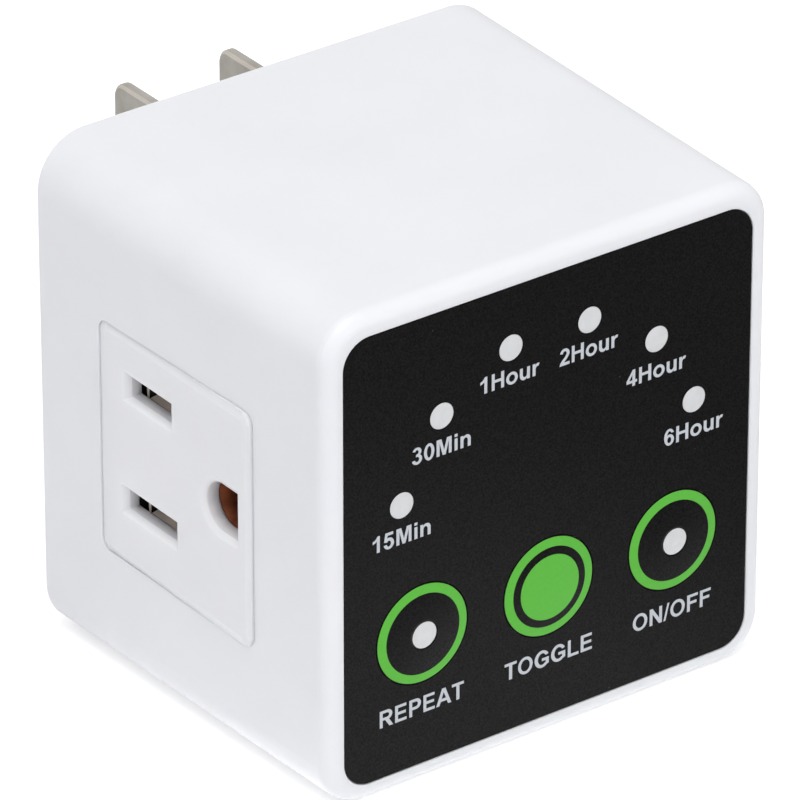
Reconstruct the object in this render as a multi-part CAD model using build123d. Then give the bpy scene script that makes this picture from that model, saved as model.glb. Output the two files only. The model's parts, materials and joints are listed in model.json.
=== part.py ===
from build123d import *
import os
from math import atan2, cos, degrees, radians, sin, sqrt, tan

# Plug in countdown timer switch, millimetres.
# Origin: centre of the wall face. +Y points into the wall outlet, +Z is up, the key panel faces -Y.
# The left receptacle faces -X. The right one is the same assembly after a half turn about Y.

# ---------------------------------------------------------------- housing shell
body_width = 52.8  # X, at the front face
body_height = 52.8  # Z, at the front face
body_depth = 46.3  # Y, front face to wall face
draft = 1.2  # degrees: every side opens towards the wall face
corner_radius = 4.6  # the four long corners, at the front face
front_round = 1.5  # soft edge round the front face
rear_chamfer = 0.4
wall = 2.0
front_wall = 2.4

# ---------------------------------------------------------------- rear cover and its screws
cover_thickness = 2.5
cover_gap = 0.12  # round the cover, inside the rebate
rebate_wall = 1.1  # what is left of the shell outside the cover
locating_rib_height = 1.8
locating_rib_width = 1.2
locating_rib_gap = 0.3
cover_screw_inset = 6.2  # screw axis from the body's sides, at the wall face
post_radius = 3.2
cover_screw_radius = 1.25
cover_screw_length = 11.0
screw_gap = 0.03  # radial, shank in its pilot hole
screw_pass_gap = 0.2  # radial, shank through the piece that it holds
pilot_spare = 0.4  # pilot hole past the screw's end
screw_head_radius = 2.3
screw_head_height = 1.2
counterbore_depth = 1.35
counterbore_gap = 0.2
cross_slot_width = 0.7
cross_slot_depth = 0.7
cross_slot_reach = 0.6  # share of the head's radius

# ---------------------------------------------------------------- membrane film on the front
film_margin = 2.15  # film's edge to the body's sides, at the front face
film_corner = 3.0
film_thickness = 0.4
film_sink = 0.05  # film's face below the rim of its recess
film_gap = 0.1
film_drop = 0.25  # film's centre below the body's centre

# ---------------------------------------------------------------- time indicators
lamp_count = 6
lamp_circle_radius = 18.1
lamp_pitch = 30.0  # degrees
window_radius = 1.38
window_gap = 0.01
lamp_hole_radius = 1.6
lamp_width = 2.8  # X of a surface-mount lamp
lamp_length = 1.6
lamp_height = 0.8
lamp_lens_radius = 0.65
lamp_lens_height = 0.15
baffle_width = 5.6  # radial width of the light baffle
baffle_gap = 0.1

# ---------------------------------------------------------------- keys
button_side = 11.3  # outer keys' axes to the body's sides, at the front face
button_rise = 16.3  # keys' axes above the body's underside, at the front face
dome_radius = 5.4
dome_rise = 0.43
dome_thickness = 0.3
dome_gap = 0.06  # between a dome's rim and the film
button_travel = 0.4
status_window_radius = 1.41
dome_pocket_gap = 0.2  # under a fully pressed dome, and round it
key_radius = 2.2
key_bore_radius = 1.45
key_skin = 0.6  # left at the outer end of a key's bore
key_guide_gap = 0.2
key_flange_radius = 3.2
key_seat_gap = 0.15  # key flange behind the front wall, at rest
key_arm_width = 4.0
key_touch_gap = 0.02
switch_offset = 5.8  # switch axis below the key's axis
switch_side = 6.0
switch_body_height = 3.2
switch_total_height = 4.3  # board to the top of the stem
switch_stem_radius = 1.7
switch_stem_gap = 0.1
switch_floor = 1.4  # board to the stem's inner end, at rest
switch_stem_chamfer = 0.2
switch_body_chamfer = 0.5
switch_lead_width = 0.9
switch_lead_reach = 1.0
switch_lead_thickness = 0.25
switch_lead_pitch = 4.5

# ---------------------------------------------------------------- control board
board_thickness = 1.6
board_corner = 1.0
board_gap = 0.7  # board's edge to the shell's inner wall
board_standoff = 5.25  # front wall to the board
board_post_radius = 2.4
board_post_gap = 0.3  # round a screw post, at the board's notches
upper_post_x = 9.5
upper_post_z = 7.0
lower_post_rise = 6.2  # lower posts' axes above the body's underside, at the front face
small_screw_radius = 0.95
small_screw_length = 5.5
small_head_radius = 1.9
small_head_height = 1.2

chip_length = 9.9
chip_width = 3.9
chip_height = 1.4
chip_z = 4.5
chip_pins = 8  # on each side
chip_pin_pitch = 1.27
chip_pin_width = 0.42
chip_pin_reach = 1.0
chip_pin_thickness = 0.2
chip_lift = 0.15
chip_dot_radius = 0.45
crystal_length = 10.4
crystal_width = 4.4
crystal_height = 3.5
crystal_flange = 0.45
crystal_x = -12.0
crystal_z = 13.2
resistor_count = 6
resistor_pitch = 3.0
resistor_length = 2.0
resistor_width = 1.25
resistor_height = 0.5
resistor_row_z = -2.0

# ---------------------------------------------------------------- link cable and its sockets
socket_width = 8.4
socket_depth = 3.75
socket_height = 4.4
socket_z = 18.4
socket_wall = 0.8
socket_pocket = 2.2
cable_ways = 5
cable_pitch = 1.27
cable_thickness = 0.9
cable_bow = 2.4
cable_lead = 0.24  # straight stretch at each end, as a share of the cable's span
cable_arc = 0.45  # share of a stretch that the arc at its end takes

# ---------------------------------------------------------------- plug
blade_pitch = 12.7
blade_width = 6.35  # Z
blade_thickness = 1.52  # X
blade_length = 16.2  # wall face to tip
blade_tip_round = 1.6
blade_tip_chamfer = 0.35
blade_hole_radius = 1.6
blade_hole_y = 11.9
blade_drop = 9.47  # blades' line below the body's top, at the wall face
ground_pin_drop = 11.9  # ground pin below the blades' line
ground_pin_radius = 2.4
ground_pin_neck = 0.3  # thicker by this, radially, inside the cover
ground_pin_length = 20.6
ground_pin_tip = 1.6
plug_gap = 0.1  # round blades and pin, in the cover
shoulder_height = 1.5  # Y
shoulder_overhang = 1.4  # Z, each side of a blade
pin_collar_radius = 3.5
tail_width = 3.0
tail_reach = 2.2  # blade tail past the power board
pin_tail_radius = 1.5
pin_rivet = 0.4  # tail past the ground strap's lug
clamp_width = 27.0
clamp_margin = 1.2
clamp_corner = 2.0
clamp_gap = 0.1

# ---------------------------------------------------------------- power board
power_standoff = 2.5  # cover to the power board
power_boss_radius = 2.2
power_screw_x = 16.0
power_screw_z = -1.0
board_hole_gap = 0.25
relay_length = 29.0
relay_height = 15.7
relay_floor_gap = 0.8  # above the shell's floor
relay_upper_gap = 2.2  # below the receptacles' carriers
relay_edge = 0.5
film_cap_width = 8.0
film_cap_depth = 14.0
film_cap_lower_gap = 1.0  # above the receptacles' carriers
film_cap_upper_gap = 2.0  # below the shell's ceiling
film_cap_edge = 0.8
can_radius = 4.0
can_depth = 11.5
can_z = 17.0
can_groove_radius = 3.6
can_groove_y = 2.0
can_groove_width = 0.9
part_column_x = 9.3  # two columns of axial parts, either side of the straps
part_column_z = -9.0  # lowest of them
part_pitch = 3.4
lead_drop = 1.6  # axis of an axial part above its board
lead_radius = 0.4
lead_overhang = 1.2
diode_count = 4
diode_radius = 1.3
diode_length = 5.0
power_resistor_count = 2
resistor_body_radius = 1.4
resistor_body_length = 6.0
fuse_radius = 1.4
fuse_length = 6.0
fuse_z = 5.6
varistor_radius = 3.6
varistor_thickness = 2.6
varistor_lift = 0.4
varistor_lead_pitch = 5.0
varistor_x = -9.3
varistor_z = 2.6

# ---------------------------------------------------------------- receptacles
plate_front_share = 0.385  # share of the free depth between the boards that lies in front of the plate
plate_z = -0.45
plate_width = 24.6  # Y
plate_height = 25.3  # Z
plate_corner = 1.2
plate_proud = 0.3  # at the plate's middle: the plate is upright, and the side behind it drafted
plate_edge = 0.3  # chamfer
plate_thickness = 1.8
plate_gap = 0.14  # round the plate, in its window
strip_length = 21.0  # strips above and below the plate, behind the shell's side
strip_margin = 2.2  # past the plate's edge
strip_thickness = 1.2
strip_gap = 0.05
strip_root = 1.3  # root of a strip, behind the plate
stake_radius = 0.7
stake_gap = 0.1
stake_proud = 0.4
stake_u = 9.0
slot_line = 4.25  # slots behind the plate's centre, towards the wall
slots_z = 0.25  # middle of the two slots, and the ground hole's axis
slot_pitch = 12.7
slot_height = 2.4
hot_slot_length = 7.0
neutral_slot_length = 8.4
slot_bevel_end = 0.6
slot_bevel_side = 0.4
slot_bevel_depth = 0.7
ground_offset = 11.9  # ground hole in front of the slots' line
ground_hole_radius = 2.6
ground_flat = 2.55  # ground hole's axis to its flat side
ground_bevel = 0.5
ground_bevel_depth = 0.4
pocket_middle_gap = 5.3  # end of a carrier's pockets to the body's middle
pocket_length = 8.8
pocket_height = 4.8
pocket_wall = 1.2
ground_pocket_radius = 3.3
cap_thickness = 1.2
cap_seat_gap = 0.05  # carrier's tubes to the plate
cap_tab_gap = 0.15

# ---------------------------------------------------------------- contacts and straps
leaf_thickness = 0.5
leaf_bend = 0.9
contact_set_back = 0.35  # contact's mouth behind the plate's inner face
contact_front = 3.5  # leaves reach this far in front of the slot's centre
contact_back = 0.9  # and this far behind it, at the mouth
web_offset = 2.7  # folded web behind the slot's centre
web_thickness = 0.4
web_half_height = 1.9
mouth_half_gap = 1.7
grip_half_gap = 0.75
root_half_gap = 1.35
grip_depth = 4.6
root_depth = 9.0
end_wall_thickness = 0.5
tab_width = 2.6
tab_thickness = 0.6
tab_reach = 1.9  # past the cap
ground_leaf_inner_radius = 2.3
ground_leaf_depth = 12.0
ground_slit = 1.0
ground_mouth_flare = 0.35
ground_tab_width = 3.0
strap_thickness = 0.8
strap_width = 3.0
strap_gap = 0.06
strap_end_gap = 0.4  # strap's ends to the contact caps
neutral_tail_z = -10.2
hot_tail_z = -2.6
ground_strap_width = 4.0
ground_strap_thickness = 0.6
ground_strap_z = 12.0
ground_strap_lug_gap = 0.9  # lug in front of the power board
strap_bend = 1.2

# ---------------------------------------------------------------- planes along Y
slope = tan(radians(draft))
front_y = -body_depth
film_y = front_y + film_sink
recess_depth = film_sink + film_thickness
wall_inner_y = front_y + front_wall
board_front_y = wall_inner_y + board_standoff
board_back_y = board_front_y + board_thickness
stem_top_y = board_front_y - switch_total_height
stem_bottom_y = board_front_y - switch_floor
cover_inner_y = -cover_thickness
cover_screw_seat_y = -counterbore_depth
power_back_y = cover_inner_y - power_standoff
power_front_y = power_back_y - board_thickness
lug_front_y = power_front_y - ground_strap_lug_gap - ground_strap_thickness
film_z = -film_drop
film_width = body_width - 2 * film_margin
film_height = body_height - 2 * film_margin
button_pitch = body_width / 2 - button_side
button_z = button_rise - body_height / 2
lower_post_x = button_pitch / 2
lower_post_z = lower_post_rise - body_height / 2
switch_z = button_z - switch_offset


def half_width(y):
    """Half of the body's outer width at depth y."""
    return body_width / 2 + (y - front_y) * slope


def half_height(y):
    """Half of the body's outer height at depth y."""
    return body_height / 2 + (y - front_y) * slope


blade_z = half_height(0) - blade_drop
pin_z = blade_z - ground_pin_drop


# ---------------------------------------------------------------- shape helpers
def facing_front(y):
    """Sketch plane at depth y: its x is X and its y is Z."""
    return Plane(origin=(0, y, 0), x_dir=(1, 0, 0), z_dir=(0, -1, 0))


def along_y(sketch, y0, y1):
    """Straight prism of a sketch, from depth y0 to depth y1."""
    return extrude(facing_front(y0) * sketch, amount=y0 - y1)


def rod_y(radius, y0, y1, x=0.0, z=0.0):
    """Round rod along Y."""
    return along_y(Pos(x, z) * Circle(radius), y0, y1)


def block(x0, x1, y0, y1, z0, z1):
    """Box between two corners."""
    return Pos((x0 + x1) / 2, (y0 + y1) / 2, (z0 + z1) / 2) * Box(x1 - x0, y1 - y0, z1 - z0)


def section(y, inset=0.0):
    """Outline of the drafted body at depth y, drawn in by inset."""
    grow = (y - front_y) * slope - inset
    outline = RectangleRounded(body_width + 2 * grow, body_height + 2 * grow, corner_radius + grow)
    return facing_front(y) * outline


def drafted(y0, y1, inset=0.0):
    """Drafted body between two depths, drawn in by inset."""
    return loft([section(y0, inset), section(y1, inset)], ruled=True)


def lamp_points():
    """Centres of the time indicators, as (x, z), from left to right."""
    first = 90 + lamp_pitch * (lamp_count - 1) / 2
    angles = [radians(first - lamp_pitch * i) for i in range(lamp_count)]
    return [(lamp_circle_radius * cos(a), lamp_circle_radius * sin(a)) for a in angles]


def corners():
    """The four corners, as (sign of X, sign of Z, x and z of the cover screw there)."""
    dx = half_width(0) - cover_screw_inset
    dz = half_height(0) - cover_screw_inset
    return [(sx, sz, sx * dx, sz * dz) for sx in (-1, 1) for sz in (-1, 1)]


def corner_square(corner, keep):
    """Square from a distance inside a corner's screw axis out past the body's corner."""
    sx, sz, x, z = corner
    reach = cover_screw_inset + wall
    middle = (reach - keep) / 2
    return Pos(x + sx * middle, z + sz * middle) * Rectangle(reach + keep, reach + keep)


def board_post_points():
    """Axes of the control board's posts, as (x, z)."""
    upper = [(s * upper_post_x, upper_post_z) for s in (-1, 1)]
    lower = [(s * lower_post_x, lower_post_z) for s in (-1, 1)]
    return upper + lower


button_x = {"repeat": -button_pitch, "toggle": 0.0, "power": button_pitch}


# ---------------------------------------------------------------- receptacle frame
# Local axes of the left receptacle: u runs to the front, v up and w out of the side. The receptacle is
# upright, while the side is drafted: they meet at w = 0 in the middle of the plate.
plate_front_gap = plate_front_share * (power_front_y - board_back_y - plate_width)
plate_y = board_back_y + plate_front_gap + plate_width / 2
side_origin = Vector(-half_width(plate_y), plate_y, 0)
side = Plane(origin=side_origin, x_dir=(0, -1, 0), z_dir=(-1, 0, 0))
half_turn = Location((0, 0, 0), (0, 180, 0))
slots_u = -slot_line
ground_u = ground_offset - slot_line
plate_back_w = plate_proud - plate_thickness
pocket_end_w = pocket_middle_gap - half_width(plate_y)
cap_end_w = pocket_end_w - cap_thickness
tab_end_w = cap_end_w - tab_reach
contact_mouth_w = plate_back_w - contact_set_back
contact_end_w = pocket_end_w + strap_gap
hot_tab_u = slots_u - web_offset
neutral_tab_u = slots_u + contact_front - tab_thickness / 2
strip_front_w = -wall - slope * strip_length / 2 - strip_gap
strip_back_w = strip_front_w - strip_thickness
ear_front_w = strip_back_w - strip_gap
ear_back_w = ear_front_w - strip_thickness
hot_v = slots_z + slot_pitch / 2
neutral_v = slots_z - slot_pitch / 2
carrier_top = hot_v + pocket_height / 2 + pocket_wall


def cuboid(u0, u1, v0, v1, w0, w1):
    """Box between two corners in the receptacle's own axes."""
    return block(u0, u1, v0, v1, w0, w1)


def along_w(sketch, w0, w1):
    """Straight prism of a (u, v) sketch between two heights."""
    return extrude(Plane.XY.offset(w0) * sketch, amount=w1 - w0)


def stake_points():
    """Heat stakes that hold a receptacle to the shell, as (u, v)."""
    dv = plate_height / 2 + strip_margin / 2
    return [(su * stake_u, plate_z + sv * dv) for su in (-1, 1) for sv in (-1, 1)]


def ground_outline(grow=0.0):
    """The ground hole: round towards the slots, flat towards the front."""
    r = ground_hole_radius + grow
    flat = ground_flat + grow
    straight = Pos(flat / 2, 0) * Rectangle(flat, 2 * r)
    nose = Circle(r) & (Pos(-r, 0) * Rectangle(2 * r, 2 * r))
    return Pos(ground_u, slots_z) * (nose + straight)


# ---------------------------------------------------------------- housing
def housing_shell():
    """Front and four sides in one drafted moulding, open at the wall face."""
    shell = drafted(front_y, 0)
    front_edges = shell.faces().sort_by(Axis.Y)[0].edges()
    shell = fillet(front_edges, front_round)
    rear_edges = shell.faces().sort_by(Axis.Y)[-1].edges()
    shell = chamfer(rear_edges, rear_chamfer)
    shell -= drafted(wall_inner_y, 0, wall)
    shell -= along_y(cover_outline(cover_gap), cover_inner_y, 0)

    outer = drafted(wall_inner_y - front_wall / 2, cover_inner_y, wall / 2)
    for corner in corners():
        _, _, x, z = corner
        post = Pos(x, z) * Circle(post_radius) + corner_square(corner, 0)
        column = along_y(post, wall_inner_y - front_wall / 2, cover_inner_y)
        shell += column & outer
        pilot_end = cover_screw_seat_y - cover_screw_length - pilot_spare
        shell -= rod_y(cover_screw_radius + screw_gap, pilot_end, cover_inner_y, x, z)
    for x, z in board_post_points():
        shell += rod_y(board_post_radius, wall_inner_y - front_wall / 4, board_front_y, x, z)
        pilot_start = board_back_y - small_screw_length - pilot_spare
        shell -= rod_y(small_screw_radius + screw_gap, pilot_start, board_front_y, x, z)

    recess = RectangleRounded(film_width + 2 * film_gap, film_height + 2 * film_gap, film_corner + film_gap)
    shell -= along_y(Pos(0, film_z) * recess, front_y, front_y + recess_depth)
    for x, z in lamp_points():
        shell -= rod_y(lamp_hole_radius, front_y, wall_inner_y, x, z)
    pocket_end = film_y + dome_thickness + button_travel + dome_pocket_gap
    for x in button_x.values():
        shell -= rod_y(dome_radius + dome_pocket_gap, front_y, pocket_end, x, button_z)
        shell -= rod_y(key_radius + key_guide_gap, front_y, wall_inner_y, x, button_z)

    opening = RectangleRounded(
        plate_width + 2 * plate_gap, plate_height + 2 * plate_gap, plate_corner + plate_gap
    )
    window = side * along_w(Pos(0, plate_z) * opening, -2 * wall, wall)
    shell -= window
    shell -= half_turn * window
    for u, v in stake_points():
        stake = side * along_w(Pos(u, v) * Circle(stake_radius), -wall / 2, ear_back_w - stake_proud)
        shell += stake
        shell += half_turn * stake
    return shell


def cover_outline(gap=0.0):
    """Outline of the rear cover, let into the shell's rim, with a gap round it."""
    inset = rebate_wall + cover_gap - gap
    inner_width = 2 * (half_width(cover_inner_y) - inset)
    inner_height = 2 * (half_height(cover_inner_y) - inset)
    return RectangleRounded(inner_width, inner_height, corner_radius + body_depth * slope - inset)


def rear_cover():
    """Flat cover that meets the wall, with its locating rib and the power board's bosses."""
    cover = along_y(cover_outline(), cover_inner_y, 0)
    rib_inset = wall + locating_rib_gap
    rib = section(cover_inner_y, rib_inset) - section(cover_inner_y, rib_inset + locating_rib_width)
    rib = extrude(rib, amount=locating_rib_height)
    for corner in corners():
        gap = corner_square(corner, post_radius + locating_rib_gap)
        rib -= along_y(gap, cover_inner_y - locating_rib_height, cover_inner_y)
    cover += rib
    for sx in (-1, 1):
        cover += rod_y(power_boss_radius, power_back_y, cover_inner_y, sx * power_screw_x, power_screw_z)
        pilot_end = power_front_y + small_screw_length + pilot_spare
        cover -= rod_y(
            small_screw_radius + screw_gap, power_back_y, pilot_end, sx * power_screw_x, power_screw_z
        )
    for _, _, x, z in corners():
        cover -= rod_y(cover_screw_radius + screw_pass_gap, cover_inner_y, 0, x, z)
        cover -= rod_y(screw_head_radius + counterbore_gap, cover_screw_seat_y, 0, x, z)
    for sx in (-1, 1):
        x = sx * blade_pitch / 2
        slot = Rectangle(blade_thickness + 2 * plug_gap, blade_width + 2 * plug_gap)
        cover -= along_y(Pos(x, blade_z) * slot, cover_inner_y, 0)
    cover -= rod_y(ground_pin_radius + ground_pin_neck + plug_gap, cover_inner_y, 0, 0, pin_z)
    return cover


def screw(radius, length, head_radius, head_height, x, seat_y, z, towards):
    """Pan-head screw along Y. towards is the way its shank points, -1 for the front."""
    shank = rod_y(radius, *sorted((seat_y, seat_y + towards * length)), x, z)
    top_y = seat_y - towards * head_height
    head = rod_y(head_radius, *sorted((seat_y, top_y)), x, z)
    rim = head.faces().sort_by(Axis.Y)[-1 if towards < 0 else 0].edges()
    head = chamfer(rim, head_height / 3)
    y0, y1 = sorted((top_y, top_y + towards * cross_slot_depth))
    arm = head_radius * cross_slot_reach
    half = cross_slot_width / 2
    slots = block(x - arm, x + arm, y0, y1, z - half, z + half)
    slots += block(x - half, x + half, y0, y1, z - arm, z + arm)
    return (head - slots) + shank


def rear_cover_screws():
    """Four screws that hold the cover to the shell's corner posts."""
    return [
        screw(cover_screw_radius, cover_screw_length, screw_head_radius, screw_head_height,
              x, cover_screw_seat_y, z, -1)
        for _, _, x, z in corners()
    ]


# ---------------------------------------------------------------- front film and keys
def overlay_film():
    """Printed film, let into the front face, with openings for its windows and domes."""
    outline = Pos(0, film_z) * RectangleRounded(film_width, film_height, film_corner)
    film = along_y(outline, film_y, film_y + film_thickness)
    for x, z in lamp_points():
        film -= rod_y(window_radius + window_gap, film_y, film_y + film_thickness, x, z)
    for x in button_x.values():
        film -= rod_y(dome_radius + dome_gap, film_y, film_y + film_thickness, x, button_z)
    return film


def time_windows():
    """Clear spots in the film, one in front of each time lamp."""
    return [rod_y(window_radius, film_y, film_y + film_thickness, x, z) for x, z in lamp_points()]


def dome_height(r):
    """How far a dome stands out of the film at radius r."""
    sphere = (dome_radius**2 + dome_rise**2) / (2 * dome_rise)
    return sqrt(sphere**2 - r**2) - (sphere - dome_rise)


def dome_ring(r0, r1, x):
    """Embossed film between two radii of a dome, as a ring or, with r0 = 0, a disc."""
    def face_y(r):
        return film_y - dome_height(r)

    mid = (r0 + r1) / 2
    t = dome_thickness
    with BuildPart() as ring:
        with BuildSketch(Plane.XY):
            with BuildLine():
                ThreePointArc((r0, face_y(r0)), (mid, face_y(mid)), (r1, face_y(r1)))
                Line((r1, face_y(r1)), (r1, face_y(r1) + t))
                ThreePointArc((r1, face_y(r1) + t), (mid, face_y(mid) + t), (r0, face_y(r0) + t))
                Line((r0, face_y(r0) + t), (r0, face_y(r0)))
            make_face()
        revolve(axis=Axis.Y)
    return Pos(x, 0, button_z) * ring.part


def key(x):
    """Translucent plunger: a light tube in the front wall, with a foot beside it on the switch."""
    key_top_y = film_y - dome_height(key_radius) + dome_thickness + key_touch_gap
    tube_end = board_front_y - lamp_height - lamp_lens_height - button_travel - key_seat_gap
    flange_y = wall_inner_y + key_seat_gap
    foot_y = stem_top_y - key_touch_gap
    body = rod_y(key_radius, key_top_y, tube_end, x, button_z)
    body += rod_y(key_flange_radius, flange_y, foot_y, x, button_z)
    half = key_arm_width / 2
    body += block(x - half, x + half, flange_y, foot_y, switch_z, button_z)
    body += rod_y(half, flange_y, foot_y, x, switch_z)
    return body - rod_y(key_bore_radius, key_top_y + key_skin, tube_end, x, button_z)


def tact_switches():
    """Bodies of the three switches, each with a bore for its stem and four leads."""
    bodies = []
    for x in button_x.values():
        half = switch_side / 2
        top_y = board_front_y - switch_body_height
        body = block(x - half, x + half, top_y, board_front_y, switch_z - half, switch_z + half)
        body = chamfer(body.edges().filter_by(Axis.Y), switch_body_chamfer)
        bore_end = stem_bottom_y + button_travel + dome_pocket_gap
        body -= rod_y(switch_stem_radius + switch_stem_gap, top_y, bore_end, x, switch_z)
        for sx in (-1, 1):
            for sz in (-1, 1):
                z = switch_z + sz * switch_lead_pitch / 2
                x0, x1 = sorted((x + sx * half, x + sx * (half + switch_lead_reach)))
                body += block(
                    x0, x1, board_front_y - switch_lead_thickness, board_front_y,
                    z - switch_lead_width / 2, z + switch_lead_width / 2,
                )
        bodies.append(body)
    return bodies


def switch_stem(x):
    """Moving stem of a switch."""
    stem = rod_y(switch_stem_radius, stem_top_y, stem_bottom_y, x, switch_z)
    return chamfer(stem.faces().sort_by(Axis.Y)[0].edges(), switch_stem_chamfer)


# ---------------------------------------------------------------- control board
def light_baffle():
    """Arc-shaped block with a well for each time lamp, so that one lamp lights one window."""
    outer = Circle(lamp_circle_radius + baffle_width / 2)
    inner = Circle(lamp_circle_radius - baffle_width / 2)
    low = lamp_points()[0][1] - baffle_width / 2
    reach = 2 * lamp_circle_radius
    ring = (outer - inner) & (Pos(0, low + reach / 2) * Rectangle(2 * reach, reach))
    baffle = along_y(ring, wall_inner_y + baffle_gap, board_front_y - baffle_gap)
    for x, z in lamp_points():
        baffle -= rod_y(lamp_hole_radius, wall_inner_y, board_front_y, x, z)
    return baffle


def lamp(x, z, turn=0.0):
    """Surface-mount lamp on the control board, with its clear lens."""
    body = Box(lamp_width, lamp_height, lamp_length)
    lens = Pos(0, -lamp_height / 2, 0) * Rot(90, 0, 0) * Cylinder(lamp_lens_radius, 2 * lamp_lens_height)
    return Pos(x, board_front_y - lamp_height / 2, z) * Rot(0, turn, 0) * (body + lens)


def time_lamps():
    """Lamps behind the six time windows, each set square to its radius."""
    return [lamp(x, z, degrees(atan2(x, z))) for x, z in lamp_points()]


def status_lamps():
    """Lamps inside the repeat and power keys."""
    return [lamp(button_x[name], button_z) for name in ("repeat", "power")]


def board_outline(y):
    """Square board with a notch round each corner post."""
    width = 2 * (half_width(y) - wall - board_gap)
    height = 2 * (half_height(y) - wall - board_gap)
    board = RectangleRounded(width, height, board_corner)
    for corner in corners():
        board -= corner_square(corner, post_radius + board_post_gap)
    return board


def control_board():
    """Board behind the front wall, on four posts."""
    board = along_y(board_outline(board_front_y), board_front_y, board_back_y)
    for x, z in board_post_points():
        board -= rod_y(small_screw_radius + screw_pass_gap, board_front_y, board_back_y, x, z)
    return board


def control_board_screws():
    """Four screws into the control board's posts."""
    return [
        screw(small_screw_radius, small_screw_length, small_head_radius, small_head_height,
              x, board_back_y, z, -1)
        for x, z in board_post_points()
    ]


def microcontroller():
    """Upright timer chip with gull-wing leads on its two long sides."""
    y0, y1 = board_back_y, board_back_y + chip_height
    half = chip_width / 2
    chip = block(-chip_length / 2, chip_length / 2, y0 + chip_lift, y1, -half, half)
    dot_x = -chip_length / 2 + 2 * chip_dot_radius
    chip -= rod_y(chip_dot_radius, y1 - chip_lift, y1, dot_x, 2 * chip_dot_radius - half)
    first = -chip_pin_pitch * (chip_pins - 1) / 2
    for i in range(chip_pins):
        x = first + i * chip_pin_pitch
        x0, x1 = x - chip_pin_width / 2, x + chip_pin_width / 2
        for s in (-1, 1):
            root, tip = s * half, s * (half + chip_pin_reach)
            knee = s * (half + chip_pin_thickness)
            chip += block(x0, x1, y0, y0 + chip_height / 2, *sorted((root, knee)))
            chip += block(x0, x1, y0, y0 + chip_pin_thickness, *sorted((root, tip)))
    return Pos(0, 0, chip_z) * Rot(0, 90, 0) * chip


def timing_crystal():
    """Low can with rounded ends on a flange."""
    can = along_y(SlotOverall(crystal_length, crystal_width), board_back_y, board_back_y + crystal_height)
    can = chamfer(can.faces().sort_by(Axis.Y)[-1].edges(), crystal_flange)
    rim = SlotOverall(crystal_length + 2 * crystal_flange, crystal_width + 2 * crystal_flange)
    foot = along_y(rim, board_back_y, board_back_y + crystal_flange)
    return Pos(crystal_x, 0, crystal_z) * (can + foot)


def chip_resistors():
    """Row of small resistors below the chip."""
    first = -resistor_pitch * (resistor_count - 1) / 2
    y = board_back_y + resistor_height / 2
    body = Box(resistor_width, resistor_height, resistor_length)
    return [Pos(first + i * resistor_pitch, y, resistor_row_z) * body for i in range(resistor_count)]


# ---------------------------------------------------------------- link between the boards
def link_socket(y0, y1, mouth):
    """Cable socket on a board. mouth is the end of it that takes the cable."""
    half = socket_height / 2
    body = block(-socket_width / 2, socket_width / 2, y0, y1, socket_z - half, socket_z + half)
    body = chamfer(body.edges().filter_by(Axis.Y), socket_wall / 2)
    well_end = mouth + (socket_pocket if mouth == y0 else -socket_pocket)
    well_x = socket_width / 2 - socket_wall
    well_z = half - socket_wall
    y_low, y_high = sorted((mouth, well_end))
    return body - block(-well_x, well_x, y_low, y_high, socket_z - well_z, socket_z + well_z)


def control_board_socket():
    """Cable socket on the back of the control board."""
    return link_socket(board_back_y, board_back_y + socket_depth, board_back_y + socket_depth)


def power_board_socket():
    """Cable socket on the front of the power board."""
    return link_socket(power_front_y - socket_depth, power_front_y, power_front_y - socket_depth)


def link_cable():
    """Flat cable from one board to the other, bowed by its slack."""
    start = board_back_y + socket_depth - socket_pocket
    end = power_front_y - socket_depth + socket_pocket
    middle = (end - start) / 2
    lead = cable_lead * 2 * middle
    points = [
        (start, socket_z),
        (start + lead, socket_z),
        (start + middle, socket_z - cable_bow),
        (end - lead, socket_z),
        (end, socket_z),
    ]
    turn = atan2(cable_bow, middle - lead)
    end_radius = cable_arc * lead / tan(turn / 2)
    middle_radius = cable_arc * lead / tan(turn)
    route = FilletPolyline(*points, radius=[end_radius, middle_radius, end_radius])
    width = cable_ways * cable_pitch
    strip = Plane.YZ.offset(-width / 2) * trace(route, cable_thickness)
    return extrude(strip, amount=width)


# ---------------------------------------------------------------- plug
def blade(x):
    """Flat blade with rounded tip corners, a shoulder held by the clamp and a solder tail."""
    outline = Pos(0, blade_length / 2) * Rectangle(blade_width, blade_length)
    tips = outline.vertices().sort_by(Axis.Y)[-2:]
    outline = fillet(tips, blade_tip_round)
    outline += Pos(0, cover_inner_y / 2) * Rectangle(blade_width, cover_thickness)
    shoulder_y = cover_inner_y - shoulder_height
    outline += Pos(0, (cover_inner_y + shoulder_y) / 2) * Rectangle(
        blade_width + 2 * shoulder_overhang, shoulder_height
    )
    tail_end = power_front_y - tail_reach
    outline += Pos(0, (shoulder_y + tail_end) / 2) * Rectangle(tail_width, shoulder_y - tail_end)
    outline -= Pos(0, blade_hole_y) * Circle(blade_hole_radius)
    lay = Plane(origin=(x - blade_thickness / 2, 0, blade_z), x_dir=(0, 0, -1), z_dir=(1, 0, 0))
    body = extrude(lay * outline, amount=blade_thickness)
    tip = body.edges().filter_by(Axis.Z).sort_by(Axis.Y)[-2:]
    return chamfer(tip, blade_tip_chamfer)


def ground_pin():
    """Round grounding pin with a collar held by the clamp and a riveted tail."""
    pin = rod_y(ground_pin_radius, 0, ground_pin_length, 0, pin_z)
    pin = fillet(pin.faces().sort_by(Axis.Y)[-1].edges(), ground_pin_tip)
    pin += rod_y(ground_pin_radius + ground_pin_neck, cover_inner_y, 0, 0, pin_z)
    collar_y = cover_inner_y - shoulder_height
    pin += rod_y(pin_collar_radius, collar_y, cover_inner_y, 0, pin_z)
    pin += rod_y(pin_tail_radius, lug_front_y - pin_rivet, collar_y, 0, pin_z)
    return pin


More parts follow.
